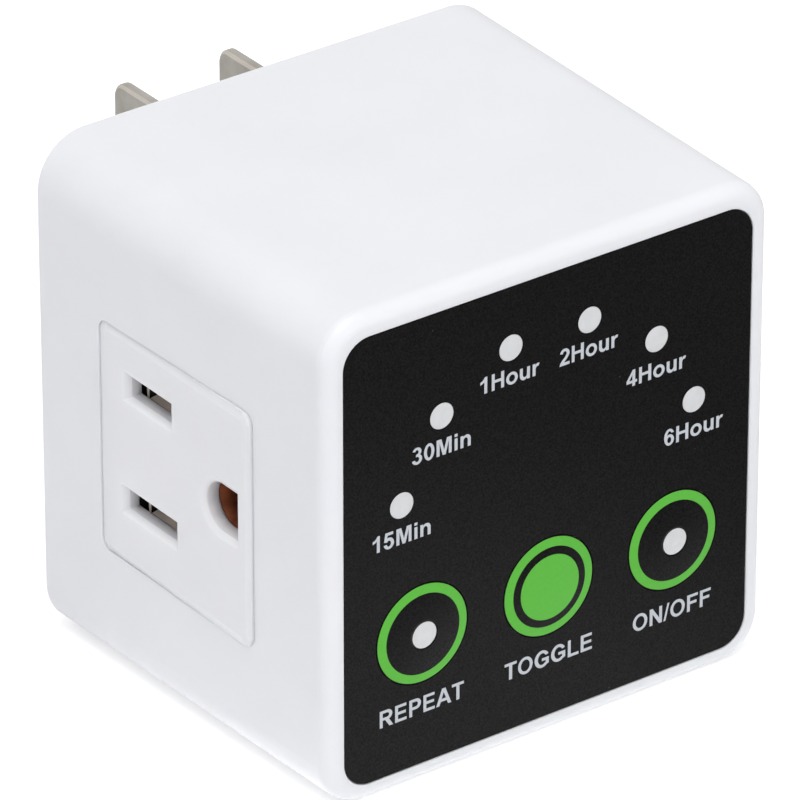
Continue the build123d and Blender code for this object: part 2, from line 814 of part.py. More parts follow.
def blade_clamp():
    """Insulating plate that traps the blades' shoulders and the pin's collar against the cover."""
    top = blade_z + blade_width / 2 + shoulder_overhang
    bottom = pin_z - pin_collar_radius
    height = top - bottom + 2 * clamp_margin
    middle = (top + bottom) / 2
    outline = Pos(0, middle) * RectangleRounded(clamp_width, height, clamp_corner)
    plate = along_y(outline, power_back_y, cover_inner_y)
    pocket_y = cover_inner_y - shoulder_height - clamp_gap
    for sx in (-1, 1):
        x = sx * blade_pitch / 2
        shoulder = Rectangle(
            blade_thickness + 2 * clamp_gap, blade_width + 2 * shoulder_overhang + 2 * clamp_gap
        )
        plate -= along_y(Pos(x, blade_z) * shoulder, pocket_y, cover_inner_y)
        plate -= along_y(Pos(x, blade_z) * tail_slot(), power_back_y, cover_inner_y)
    plate -= rod_y(pin_collar_radius + clamp_gap, pocket_y, cover_inner_y, 0, pin_z)
    plate -= rod_y(pin_tail_radius + board_hole_gap, power_back_y, cover_inner_y, 0, pin_z)
    return plate


def tail_slot():
    """Slot for a blade's tail."""
    return Rectangle(blade_thickness + 2 * board_hole_gap, tail_width + 2 * board_hole_gap)


# ---------------------------------------------------------------- power board
def power_board():
    """Board in front of the cover, with slots for the blades' tails and the straps' ends."""
    board = along_y(board_outline(power_front_y), power_front_y, power_back_y)
    for sx in (-1, 1):
        board -= along_y(Pos(sx * blade_pitch / 2, blade_z) * tail_slot(), power_front_y, power_back_y)
        hole = Pos(sx * power_screw_x, power_screw_z) * Circle(small_screw_radius + screw_pass_gap)
        board -= along_y(hole, power_front_y, power_back_y)
    board -= rod_y(pin_tail_radius + board_hole_gap, power_front_y, power_back_y, 0, pin_z)
    strap_slot = Rectangle(strap_width + 2 * board_hole_gap, strap_thickness + 2 * board_hole_gap)
    for z in (hot_tail_z, neutral_tail_z):
        board -= along_y(Pos(0, z) * strap_slot, power_front_y, power_back_y)
    return board


def power_board_screws():
    """Two screws through the power board into the cover's bosses."""
    return [
        screw(small_screw_radius, small_screw_length, small_head_radius, small_head_height,
              sx * power_screw_x, power_front_y, power_screw_z, 1)
        for sx in (-1, 1)
    ]


def inner_height():
    """Half of the shell's inner height at the power board."""
    return half_height(power_front_y) - wall


def capacitor_x():
    """Middle of the room between a blade's tail and a corner post."""
    post_side = half_width(0) - cover_screw_inset - post_radius
    return (post_side + blade_pitch / 2 + blade_thickness / 2) / 2


def relay():
    """Sealed relay that switches the receptacles, between the shell's floor and their carriers."""
    low, high = relay_floor_gap - inner_height(), -carrier_top - relay_upper_gap
    half = relay_length / 2
    case = block(-half, half, power_front_y - relay_height, power_front_y, low, high)
    case = chamfer(case.edges().filter_by(Axis.Y), relay_edge)
    return chamfer(case.faces().sort_by(Axis.Y)[0].edges(), relay_edge)


def dropper_capacitor():
    """Boxed film capacitor that feeds the low-voltage supply, above a receptacle's carrier."""
    low, high = carrier_top + film_cap_lower_gap, inner_height() - film_cap_upper_gap
    half = film_cap_width / 2
    case = block(-half, half, power_front_y - film_cap_depth, power_front_y, low, high)
    case = chamfer(case.faces().sort_by(Axis.Y)[0].edges(), film_cap_edge)
    return Pos(-capacitor_x(), 0, 0) * case


def smoothing_capacitor():
    """Can capacitor with its crimp groove and scored top."""
    can = rod_y(can_radius, power_front_y - can_depth, power_front_y, 0, 0)
    can = chamfer(can.faces().sort_by(Axis.Y)[0].edges(), can_radius - can_groove_radius)
    groove_y = power_front_y - can_groove_y
    groove = rod_y(2 * can_radius, groove_y - can_groove_width, groove_y)
    groove -= rod_y(can_groove_radius, groove_y - can_groove_width, groove_y)
    return Pos(capacitor_x(), 0, can_z) * (can - groove)


def axial_part(radius, length, x, z):
    """Axial component along X, above its board on two bent leads."""
    axis_y = power_front_y - lead_drop
    reach = length / 2 + lead_overhang
    body = Pos(x, axis_y, z) * Rot(0, 90, 0) * Cylinder(radius, length)
    route = Polyline(
        (x - reach, power_front_y, z),
        (x - reach, axis_y, z),
        (x + reach, axis_y, z),
        (x + reach, power_front_y, z),
    )
    start = facing_front(power_front_y) * Pos(x - reach, z) * Circle(lead_radius)
    return body + sweep(start, path=route, transition=Transition.RIGHT)


def rectifier_diodes():
    """Bridge of diodes in a column on the board."""
    zs = [part_column_z + i * part_pitch for i in range(diode_count)]
    return [axial_part(diode_radius, diode_length, part_column_x, z) for z in zs]


def power_resistors():
    """Bleeder and inrush resistors, across the board from the diodes."""
    zs = [part_column_z + i * part_pitch for i in range(power_resistor_count)]
    return [axial_part(resistor_body_radius, resistor_body_length, -part_column_x, z) for z in zs]


def thermal_fuse():
    """Thermal fuse beside the live blade's tail."""
    return axial_part(fuse_radius, fuse_length, part_column_x, fuse_z)


def varistor():
    """Surge absorber, a coated disc that lies above the board on its two leads."""
    low_y = power_front_y - varistor_lift
    disc = rod_y(varistor_radius, low_y - varistor_thickness, low_y, varistor_x, varistor_z)
    disc = chamfer(disc.edges().filter_by(GeomType.CIRCLE), varistor_thickness / 4)
    for s in (-1, 1):
        x = varistor_x + s * varistor_lead_pitch / 2
        disc += rod_y(lead_radius, low_y - varistor_thickness / 2, power_front_y, x, varistor_z)
    return disc


# ---------------------------------------------------------------- receptacles, in their own axes
def pocket_centres():
    """Centres of the live and neutral pockets, as (u, v)."""
    return [(slots_u, v) for v in (hot_v, neutral_v)]


def lead_in(opening, mouth, depth):
    """Cutter for an opening through the plate whose last stretch widens to its mouth."""
    throat_w = plate_proud - depth
    straight = along_w(opening, plate_back_w, throat_w)
    funnel = loft([Plane.XY.offset(throat_w) * opening, Plane.XY.offset(plate_proud) * mouth], ruled=True)
    return straight + funnel


def stake_holes(w0, w1):
    """Cutters for the stakes' holes."""
    hole = Circle(stake_radius + stake_gap)
    return [along_w(Pos(u, v) * hole, w0, w1) for u, v in stake_points()]


def receptacle_face():
    """Raised face plate with its three openings, and the strips that catch behind the shell's side."""
    outline = Pos(0, plate_z) * RectangleRounded(plate_width, plate_height, plate_corner)
    face = along_w(outline, plate_back_w, plate_proud)
    face = chamfer(face.faces().sort_by(Axis.Z)[-1].edges(), plate_edge)
    half = strip_length / 2
    for s in (-1, 1):
        edge = s * plate_height / 2
        inner, outer = edge - s * strip_root, edge + s * strip_margin
        root_low, root_high = (plate_z + v for v in sorted((inner, edge)))
        low, high = (plate_z + v for v in sorted((inner, outer)))
        face += cuboid(-half, half, root_low, root_high, strip_back_w, plate_back_w)
        face += cuboid(-half, half, low, high, strip_back_w, strip_front_w)

    lengths = (hot_slot_length, neutral_slot_length)
    for (u, v), length in zip(pocket_centres(), lengths):
        mouth = Rectangle(length + 2 * slot_bevel_end, slot_height + 2 * slot_bevel_side)
        face -= lead_in(Pos(u, v) * Rectangle(length, slot_height), Pos(u, v) * mouth, slot_bevel_depth)
    face -= lead_in(ground_outline(), ground_outline(ground_bevel), ground_bevel_depth)
    return face - stake_holes(strip_back_w, strip_front_w)


def contact_cap():
    """Carrier behind a face: a tube for each contact, ears on the shell's stakes and an end plate."""
    mouth_w = plate_back_w - cap_seat_gap
    pocket = Rectangle(pocket_length, pocket_height)
    tube = Rectangle(pocket_length + 2 * pocket_wall, pocket_height + 2 * pocket_wall)
    ears = Pos(0, plate_z) * RectangleRounded(
        strip_length, plate_height + 2 * strip_margin, pocket_wall
    )
    cap = along_w(ears, ear_back_w, ear_front_w)
    for u, v in pocket_centres():
        cap += along_w(Pos(u, v) * tube, pocket_end_w, mouth_w)
    ground = Pos(ground_u, slots_z)
    cap += along_w(ground * Circle(ground_pocket_radius + pocket_wall), pocket_end_w, mouth_w)
    low = slots_u - pocket_length / 2 - pocket_wall
    high = ground_u + ground_pocket_radius + pocket_wall
    end_height = slot_pitch + pocket_height + 2 * pocket_wall
    end = Pos((low + high) / 2, slots_z) * RectangleRounded(high - low, end_height, pocket_wall)
    cap += along_w(end, cap_end_w, pocket_end_w)
    for u, v in pocket_centres():
        cap -= along_w(Pos(u, v) * pocket, pocket_end_w, mouth_w)
    cap -= along_w(ground * Circle(ground_pocket_radius), pocket_end_w, mouth_w)

    slot = Rectangle(tab_thickness + 2 * cap_tab_gap, tab_width + 2 * cap_tab_gap)
    cap -= along_w(Pos(hot_tab_u, hot_v) * slot, cap_end_w, pocket_end_w)
    cap -= along_w(Pos(neutral_tab_u, neutral_v) * slot, cap_end_w, pocket_end_w)
    flat_slot = Rectangle(ground_tab_width + 2 * cap_tab_gap, tab_thickness + 2 * cap_tab_gap)
    cap -= along_w(Pos(ground_u, 0) * flat_slot, cap_end_w, pocket_end_w)
    return cap - stake_holes(ear_back_w, ear_front_w)


def blade_contact(v, tab_u):
    """Folded contact: two sprung leaves above and below the blade, a web behind them and a tab."""
    mouth = contact_mouth_w
    half = leaf_thickness / 2
    route = FilletPolyline(
        (mouth_half_gap + half, mouth),
        (grip_half_gap + half, mouth - grip_depth),
        (root_half_gap + half, mouth - root_depth),
        (root_half_gap + half, contact_end_w),
        radius=leaf_bend,
    )
    u0, u1 = slots_u - contact_back, slots_u + contact_front
    leaf = extrude(Plane.YZ.offset(u0) * trace(route, leaf_thickness), amount=u1 - u0)
    web_u1 = slots_u - web_offset
    web_u0 = web_u1 - web_thickness
    root_top = root_half_gap + leaf_thickness
    leaf += cuboid(web_u0, u0, root_half_gap, root_top, contact_end_w, mouth - root_depth)
    contact = leaf + mirror(leaf, Plane.XZ)
    contact += cuboid(web_u0, web_u1, -web_half_height, web_half_height, contact_end_w, mouth)
    end_w = contact_end_w + end_wall_thickness
    contact += cuboid(web_u0, u1, -web_half_height, web_half_height, contact_end_w, end_w)
    contact += cuboid(
        tab_u - tab_thickness / 2, tab_u + tab_thickness / 2,
        -tab_width / 2, tab_width / 2, tab_end_w, end_w,
    )
    return Pos(0, v, 0) * contact


def ground_contact():
    """Slit tube that grips the pin, on a strip that ends in a tab."""
    mouth = contact_mouth_w
    inner = ground_leaf_inner_radius
    outer = inner + leaf_thickness
    tube_end = mouth - ground_leaf_depth
    tube = along_w(Circle(outer) - Circle(inner), tube_end, mouth)
    flare = Pos(0, 0, mouth - ground_mouth_flare) * Cone(
        inner, inner + ground_mouth_flare, 2 * ground_mouth_flare
    )
    tube -= flare
    tube -= cuboid(0, 2 * outer, -ground_slit / 2, ground_slit / 2, tube_end, mouth)
    half = ground_tab_width / 2
    low = -outer + leaf_thickness / 4
    tab_low, tab_high = -slots_z - tab_thickness / 2, -slots_z + tab_thickness / 2
    tube += cuboid(-half, half, low, low + leaf_thickness, contact_end_w, tube_end + leaf_thickness)
    end_w = contact_end_w + end_wall_thickness
    tube += cuboid(-half, half, low, tab_high, contact_end_w, end_w)
    tube += cuboid(-half, half, tab_low, tab_high, tab_end_w, end_w)
    return Pos(ground_u, slots_z, 0) * tube


# ---------------------------------------------------------------- straps between the receptacles
def tab_depth_y(u):
    """Depth of a contact tab's middle, where a strap meets it."""
    return side.from_local_coords((u, 0, (cap_end_w + tab_end_w) / 2)).Y


def strap_reach():
    """Half of the room between the two contact caps, less the gap at a strap's ends."""
    return -side.from_local_coords((0, 0, cap_end_w)).X - strap_end_gap


def crossed_strap(y0, y1, left_z, foot_z):
    """Upright plate from a tab of the left receptacle to the diagonally opposite one on the right."""
    half = strap_width / 2
    reach = strap_reach()
    plate = block(-reach, half, y0, y1, left_z - half, left_z + half)
    plate += block(-half, reach, y0, y1, -left_z - half, -left_z + half)
    high = abs(left_z) + half
    return plate + block(-half, half, y0, y1, min(-high, foot_z), high)


def hot_strap():
    """Switched live strap: joins both live contacts and runs back to the power board."""
    y0 = tab_depth_y(hot_tab_u) + tab_thickness / 2 + strap_gap
    y1 = y0 + strap_thickness
    strap = crossed_strap(y0, y1, hot_v, 0)
    half = strap_thickness / 2
    width = strap_width / 2
    return strap + block(-width, width, y0, power_back_y, hot_tail_z - half, hot_tail_z + half)


def neutral_strap():
    """Neutral strap: joins both neutral contacts and passes under the live strap to the board."""
    y1 = tab_depth_y(neutral_tab_u) - tab_thickness / 2 - strap_gap
    y0 = y1 - strap_thickness
    half = strap_thickness / 2
    strap = crossed_strap(y0, y1, neutral_v, neutral_tail_z - half)
    width = strap_width / 2
    return strap + block(-width, width, y0, power_back_y, neutral_tail_z - half, neutral_tail_z + half)


def ground_strap():
    """Bent grounding strap from both ground contacts, over the other straps, to the pin's tail."""
    t = ground_strap_thickness
    tab_y = tab_depth_y(ground_u)
    foot_z = tab_thickness / 2 + strap_gap + t / 2
    lug_y = lug_front_y + t / 2
    half_tab = ground_tab_width / 2
    route = FilletPolyline(
        (tab_y - half_tab, foot_z),
        (tab_y + half_tab + strap_bend, foot_z),
        (tab_y + half_tab + strap_bend, ground_strap_z),
        (lug_y, ground_strap_z),
        (lug_y, pin_z - 2 * pin_tail_radius),
        radius=strap_bend,
    )
    half = ground_strap_width / 2
    strap = extrude(Plane.YZ.offset(-half) * trace(route, t), amount=2 * half)
    reach = strap_reach()
    strap += block(-reach, reach, tab_y - half_tab, tab_y + half_tab, foot_z - t / 2, foot_z + t / 2)
    lug_hole = rod_y(pin_tail_radius + strap_gap, lug_y - t, lug_y + t, 0, pin_z)
    return strap - lug_hole


# ---------------------------------------------------------------- output
def receptacle(name, place):
    """The five nodes of one receptacle, in its place."""
    return {
        f"{name}_receptacle_face": place * receptacle_face(),
        f"{name}_contact_cap": place * contact_cap(),
        f"{name}_hot_contact": place * blade_contact(hot_v, hot_tab_u),
        f"{name}_neutral_contact": place * blade_contact(neutral_v, neutral_tab_u),
        f"{name}_ground_contact": place * ground_contact(),
    }


def keys():
    """Dome, plunger and switch stem of each key, with the status windows."""
    nodes = {}
    for name, x in button_x.items():
        lit = name != "toggle"
        nodes[f"{name}_dome"] = dome_ring(status_window_radius if lit else 0, dome_radius, x)
        if lit:
            nodes[f"{name}_window"] = dome_ring(0, status_window_radius, x)
        nodes[f"{name}_key"] = key(x)
        nodes[f"{name}_switch_stem"] = switch_stem(x)
    return nodes


def nodes():
    """Every node of the assembly by name: one solid, or a list of like solids."""
    singles = (
        housing_shell, rear_cover, rear_cover_screws, overlay_film, time_windows,
        tact_switches, light_baffle, time_lamps, status_lamps,
        control_board, control_board_screws, microcontroller, timing_crystal, chip_resistors,
        control_board_socket, power_board_socket, link_cable,
        ground_pin, blade_clamp, power_board, power_board_screws,
        relay, dropper_capacitor, smoothing_capacitor, rectifier_diodes, power_resistors,
        thermal_fuse, varistor, hot_strap, neutral_strap, ground_strap,
    )
    found = {make.__name__: make() for make in singles}
    found["hot_blade"] = blade(blade_pitch / 2)
    found["neutral_blade"] = blade(-blade_pitch / 2)
    found.update(keys())
    found.update(receptacle("left", side.location))
    found.update(receptacle("right", half_turn * side.location))
    return found


os.makedirs("parts", exist_ok=True)
for node_name, shape in nodes().items():
    solids = shape if isinstance(shape, list) else [shape]
    whole = Compound([s for piece in solids for s in piece.solids()])
    export_step(whole if len(whole.solids()) > 1 else whole.solids()[0], f"parts/{node_name}.step")
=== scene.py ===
"""Plug in countdown timer switch: its finishes, its print and the pieces that are shaped here.

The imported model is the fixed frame, in metres: X to the right, Y into the wall outlet, Z up. Its
solids keep their shapes and get their finishes here. The key domes, the windows, the print, the
receptacle plates, the contacts, the blades and the cover's screws are made here, in the places of
their solids.
"""
import json
import logging
from collections.abc import Callable, Sequence
from dataclasses import dataclass
from enum import Enum
from math import ceil, cos, pi, radians, sin, sqrt, tan

import bmesh
import bpy
from mathutils import Matrix, Vector


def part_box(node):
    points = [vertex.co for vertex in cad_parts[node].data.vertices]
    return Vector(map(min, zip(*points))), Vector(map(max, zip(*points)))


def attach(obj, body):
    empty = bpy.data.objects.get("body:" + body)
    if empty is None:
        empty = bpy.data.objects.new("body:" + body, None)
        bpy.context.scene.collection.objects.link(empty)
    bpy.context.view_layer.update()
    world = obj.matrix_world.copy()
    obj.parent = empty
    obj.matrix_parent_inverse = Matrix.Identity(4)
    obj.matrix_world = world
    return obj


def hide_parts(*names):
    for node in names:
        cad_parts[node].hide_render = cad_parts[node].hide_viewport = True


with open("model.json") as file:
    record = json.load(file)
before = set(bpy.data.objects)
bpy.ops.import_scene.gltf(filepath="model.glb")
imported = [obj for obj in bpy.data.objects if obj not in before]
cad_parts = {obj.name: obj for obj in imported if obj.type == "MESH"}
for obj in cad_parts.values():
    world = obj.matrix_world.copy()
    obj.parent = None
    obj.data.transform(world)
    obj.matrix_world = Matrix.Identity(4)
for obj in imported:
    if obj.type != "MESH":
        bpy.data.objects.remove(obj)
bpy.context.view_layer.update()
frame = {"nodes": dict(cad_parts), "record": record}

MM = 0.001
MERGE = 0.001 * MM  # points nearer than this are one
COPLANAR = radians(0.5)  # facets that turn by less than this are one face
FACING = 0.7  # share of a normal along an axis from which its face looks that way
NOISE_LOW, NOISE_HIGH = 0.3, 0.7  # most of the noise lies between these
QUARTER = (0, pi / 6, pi / 3, pi / 2)  # steps round a soft edge
log = logging.getLogger("timer")

Color = tuple[float, float, float]
Point = tuple[float, float]
Settings = dict[str, object]
Material = bpy.types.Material
Node = bpy.types.Node
Piece = bpy.types.Object
Socket = bpy.types.NodeSocket
Finishes = dict[str, Material]


class Body(Enum):
    """Bodies of the frame."""

    HOUSING = "housing"
    REPEAT = "repeat_button"
    TOGGLE = "toggle_button"
    POWER = "power_button"


class Side(Enum):
    """Sides of the housing that carry a receptacle."""

    LEFT = "left"
    RIGHT = "right"


class Pole(Enum):
    """The two current-carrying conductors."""

    HOT = "hot"
    NEUTRAL = "neutral"


class Along(Enum):
    """Direction in which a metal was rolled or drawn, by its place in X, Y, Z."""

    X = 0
    Y = 1


class Print(Enum):
    """Colours of the film over a key, by their place in the dome's materials."""

    BLACK = 0
    GREEN = 1


def linear(value: int) -> float:
    """One 8-bit display value as a linear share, by the usual display curve."""
    share = value / 255
    return share / 12.92 if share <= 0.04045 else ((share + 0.055) / 1.055) ** 2.4


def srgb(red: int, green: int, blue: int) -> Color:
    """Linear colour of three display values, 0 to 255."""
    return linear(red), linear(green), linear(blue)


def shade(color: Color, factor: float) -> Color:
    """The colour made darker or lighter by a factor."""
    return tuple(min(1.0, c * factor) for c in color)


# ---------------------------------------------------------------- node trees
def labelled(sockets: Sequence[Socket]) -> dict[str, Socket]:
    """Finds a node's enabled sockets.

    Args:
        sockets: the node's inputs or outputs.

    Returns:
        The first of each name, by its name in lower case with _ for a space.
    """
    found = {}
    for socket in sockets:
        if socket.enabled:
            found.setdefault(socket.name.lower().replace(" ", "_"), socket)
    return found


class NodeTree:
    """A node tree, with short ways to add and join its nodes."""

    def __init__(self, tree: bpy.types.NodeTree, prefix: str) -> None:
        """Takes a tree over, emptied; prefix is how the classes of its own nodes start."""
        self.nodes, self.links, self.prefix = tree.nodes, tree.links, prefix
        self.nodes.clear()

    def fill(self, socket: Socket, value: object) -> None:
        """Links an output to a socket, or sets the socket to a plain value.

        Args:
            socket: the input to fill.
            value: an output socket, a number, a vector, a material or a linear colour.
        """
        if isinstance(value, Socket):
            self.links.new(value, socket)
        elif socket.type == "RGBA":
            socket.default_value = (*value, 1.0)
        else:
            socket.default_value = value

    def feed(self, node: Node, inputs: Settings) -> None:
        """Fills some of a node's inputs.

        Args:
            node: the node.
            inputs: what to fill them with, by name, in lower case with _ for a space.
        """
        sockets = labelled(node.inputs)
        for label, value in inputs.items():
            self.fill(sockets[label], value)

    def node(self, kind: str, settings: Settings | None = None, **inputs: object) -> Node:
        """Adds a node and fills its inputs.

        Args:
            kind: the node's class, without the prefix of the tree's own nodes.
            settings: the node's own properties.
            inputs: as feed takes them.

        Returns:
            The new node.
        """
        node = self.nodes.new(kind if "Node" in kind else self.prefix + kind)
        for label, value in (settings or {}).items():
            setattr(node, label, value)
        self.feed(node, inputs)
        return node

    def add(self, kind: str, settings: Settings | None = None, **inputs: object) -> Socket:
        """Adds a node, as node does, and gives its first enabled output."""
        return next(s for s in self.node(kind, settings, **inputs).outputs if s.enabled)

    def math(self, operation: str, *operands: object) -> Socket:
        """Adds one arithmetic step.

        Args:
            operation: what it does.
            operands: numbers or outputs, in order.

        Returns:
            Its result.
        """
        node = self.node("ShaderNodeMath", {"operation": operation})
        for socket, value in zip(node.inputs, operands):
            self.fill(socket, value)
        return node.outputs[0]


class ShaderTree(NodeTree):
    """A material's node tree round one principled shader."""

    def __init__(self, name: str) -> None:
        """Starts a material.

        Args:
            name: the material's name.
        """
        self.material = bpy.data.materials.new(name)
        self.material.use_nodes = True
        super().__init__(self.material.node_tree, "ShaderNode")
        self.shader = self.node("BsdfPrincipled")
        self.node("OutputMaterial", surface=self.shader.outputs["BSDF"])

    def dress(self, **values: object) -> None:
        """Fills the principled shader's inputs, as feed takes them."""
        self.feed(self.shader, values)

    def place(self, stretch: Sequence[float] = (1, 1, 1)) -> Socket:
        """Object coordinates, stretched along the axes."""
        coordinates = self.node("TexCoord").outputs["Object"]
        return self.add("Mapping", vector=coordinates, scale=stretch)

    def noise(
        self, period: float, detail: float = 3, stretch: Sequence[float] = (1, 1, 1),
    ) -> Socket:
        """Noise of a given period in metres, as a number about 0.5."""
        return self.add("TexNoise", vector=self.place(stretch), scale=1 / period, detail=detail)

    def span(self, value: Socket, low: float, high: float, to_low: float, to_high: float) -> Socket:
        """Maps a number from one span to another, held inside it."""
        spans = {"from_min": low, "from_max": high, "to_min": to_low, "to_max": to_high}
        return self.add("MapRange", value=value, **spans)

    def level(self, noise: Socket, low: float = 0.0, high: float = 1.0) -> Socket:
        """Noise stretched so that most of it fills a span."""
        return self.span(noise, NOISE_LOW, NOISE_HIGH, low, high)

    def about(self, noise: Socket, middle: float, spread: float) -> Socket:
        """Noise stretched to both sides of a value."""
        return self.level(noise, middle - spread, middle + spread)

    def blend(self, share: object, first: object, second: object) -> Socket:
        """Mixes two colours; share, 0 to 1, is how much of the second."""
        return self.add("Mix", {"data_type": "RGBA"}, factor=share, a=first, b=second)

    def relief(self, height: Socket, depth: float) -> Socket:
        """Normal of a surface relief that is depth metres high."""
        return self.add("Bump", strength=1.0, distance=depth, height=height)


class ShapeTree(NodeTree):
    """A Geometry Nodes tree with named inputs, run once and turned into a plain mesh."""

    def __init__(self, name: str) -> None:
        """Starts an empty tree.

        Args:
            name: the name of the tree and of the piece that it makes.
        """
        self.name = name
        self.group = bpy.data.node_groups.new(name, "GeometryNodeTree")
        super().__init__(self.group, "GeometryNode")
        self.entry = self.node("NodeGroupInput")
        self.values: Settings = {}

    def size(self, label: str, value: object, kind: str = "Float") -> Socket:
        """Adds a named input.

        Args:
            label: its name.
            value: what the modifier gives it.
            kind: its socket type, such as Float, Int or Object.

        Returns:
            The input, as an output of the tree's entry node.
        """
        interface, socket_type = self.group.interface, "NodeSocket" + kind
        item = interface.new_socket(label, in_out="INPUT", socket_type=socket_type)
        self.values[item.identifier] = value
        return next(s for s in self.entry.outputs if s.identifier == item.identifier)

    def shape(self, label: str, piece: Piece) -> Socket:
        """The geometry of an object that a named input gives."""
        return self.node("ObjectInfo", object=self.size(label, piece, "Object")).outputs["Geometry"]

    def mesh(self, geometry: Socket, material: Material) -> Piece:
        """Ends the tree, runs it and keeps the result.

        Args:
            geometry: what the tree makes.
            material: its finish.

        Returns:
            The piece, a plain mesh.
        """
        real = self.add("RealizeInstances", geometry=geometry)
        dressed = self.add("SetMaterial", geometry=real, material=material)
        interface = self.group.interface
        interface.new_socket("Geometry", in_out="OUTPUT", socket_type="NodeSocketGeometry")
        self.node("NodeGroupOutput", geometry=dressed)
        holder = new_piece(self.name + "_tree", bpy.data.meshes.new(self.name))
        modifier = holder.modifiers.new(self.name, "NODES")
        modifier.node_group = self.group
        for identifier, value in self.values.items():
            modifier[identifier] = value
        made = plain_mesh(holder)
        bpy.data.objects.remove(holder)
        return new_piece(self.name, made)


# ---------------------------------------------------------------- finishes
@dataclass(frozen=True)
class Moulding:
    """Moulded plastic: a fine eroded texture, faint flow marks and a soft gloss."""

    name: str
    color: Color
    roughness: float = 0.36
    roughness_spread: float = 0.04
    polish: float = 3 * MM  # period at which the roughness changes
    specular: float = 0.5
    grain: float = 0.16 * MM
    grain_detail: float = 2
    grain_depth: float = 0.003 * MM
    flow: float = 14 * MM
    flow_detail: float = 4
    flow_share: float = 0.03
    translucency: float = 0.0
    scatter: Color = (1.0, 0.9, 0.85)
    depth: float = 0.6 * MM

    def material(self) -> Material:
        """Makes the finish.

        Returns:
            The material.
        """
        tree = ShaderTree(self.name)
        flow = tree.level(tree.noise(self.flow, self.flow_detail))
        tree.dress(
            base_color=tree.blend(flow, self.color, shade(self.color, 1 - self.flow_share)),
            roughness=tree.about(tree.noise(self.polish), self.roughness, self.roughness_spread),
            specular_ior_level=self.specular,
            normal=tree.relief(tree.noise(self.grain, self.grain_detail), self.grain_depth),
            subsurface_weight=self.translucency,
            subsurface_radius=self.scatter,
            subsurface_scale=self.depth,
        )
        return tree.material


@dataclass(frozen=True)
class Ink(Moulding):
    """Screen-printed ink: even colour, with the print's fine unevenness."""

    roughness: float = 0.5
    roughness_spread: float = 0.0
    specular: float = 0.2
    grain: float = 0.12 * MM
    grain_detail: float = 3
    grain_depth: float = 0.001 * MM
    flow: float = 0.35 * MM
    flow_share: float = 0.06


@dataclass(frozen=True)
class Window(Moulding):
    """Clear film over a white diffuser: milky and faintly clouded."""

    roughness: float = 0.38
    roughness_spread: float = 0.0
    specular: float = 0.3
    grain: float = 0.2 * MM
    grain_detail: float = 3
    grain_depth: float = 0.002 * MM
    flow: float = 0.9 * MM
    flow_detail: float = 2
    flow_share: float = 0.05
    translucency: float = 0.15
    scatter: Color = (1.0, 1.0, 0.95)
    depth: float = 0.3 * MM


@dataclass(frozen=True)
class Film:
    """Hard-coated printed film: a fine pebbled grain under a low sheen, with sparse dust."""

    name: str
    color: Color
    roughness: float = 0.34
    roughness_spread: float = 0.06
    specular: float = 0.06
    sheen_share: float = 0.32
    grain: float = 0.2 * MM
    grain_detail: float = 4
    grain_depth: float = 0.008 * MM
    grain_share: float = 0.7
    dust_pitch: float = 4 * MM
    dust_reach: float = 0.022  # radius of a speck, in pitches
    dust_core: float = 0.6  # its solid middle, in radii
    dust: Color = (0.05, 0.05, 0.05)

    def material(self) -> Material:
        """Makes the finish.

        Returns:
            The material.
        """
        tree = ShaderTree(self.name)
        grain = tree.noise(self.grain, self.grain_detail)
        low, high = (shade(self.color, 1 + s) for s in (-self.grain_share, self.grain_share))
        cells = tree.add("TexVoronoi", vector=tree.place(), scale=1 / self.dust_pitch)
        speck = tree.span(cells, self.dust_reach * self.dust_core, self.dust_reach, 1.0, 0.0)
        tree.dress(
            base_color=tree.blend(speck, tree.blend(tree.level(grain), low, high), self.dust),
            roughness=tree.about(grain, self.roughness, self.roughness_spread),
            specular_ior_level=tree.about(grain, self.specular, self.specular * self.sheen_share),
            normal=tree.relief(grain, self.grain_depth),
        )
        return tree.material


@dataclass(frozen=True)
class RolledMetal:
    """Rolled or drawn metal: fine lines along one axis and faint clouds of tarnish."""

    name: str
    color: Color
    tarnish: Color
    along: Along = Along.Y
    roughness: float = 0.34
    roughness_spread: float = 0.08
    metallic: float = 1.0
    tarnish_share: float = 0.5
    cloud: float = 2.4 * MM
    cloud_detail: float = 5
    cloud_low: float = 0.35  # noise at which the tarnish starts, and at which it is full
    cloud_high: float = 0.75
    line_width: float = 0.07 * MM
    line_length: float = 4 * MM
    line_depth: float = 0.002 * MM

    def material(self) -> Material:
        """Makes the finish.

        Returns:
            The material.
        """
        tree = ShaderTree(self.name)
        stretch = [1.0, 1.0, 1.0]
        stretch[self.along.value] = self.line_width / self.line_length
        lines = tree.noise(self.line_width, stretch=stretch)
        noise = tree.noise(self.cloud, self.cloud_detail)
        cloud = tree.span(noise, self.cloud_low, self.cloud_high, 0.0, self.tarnish_share)
        tree.dress(
            base_color=tree.blend(cloud, self.color, self.tarnish),
            metallic=self.metallic,
            roughness=tree.about(lines, self.roughness, self.roughness_spread),
            normal=tree.relief(lines, self.line_depth),
        )
        return tree.material


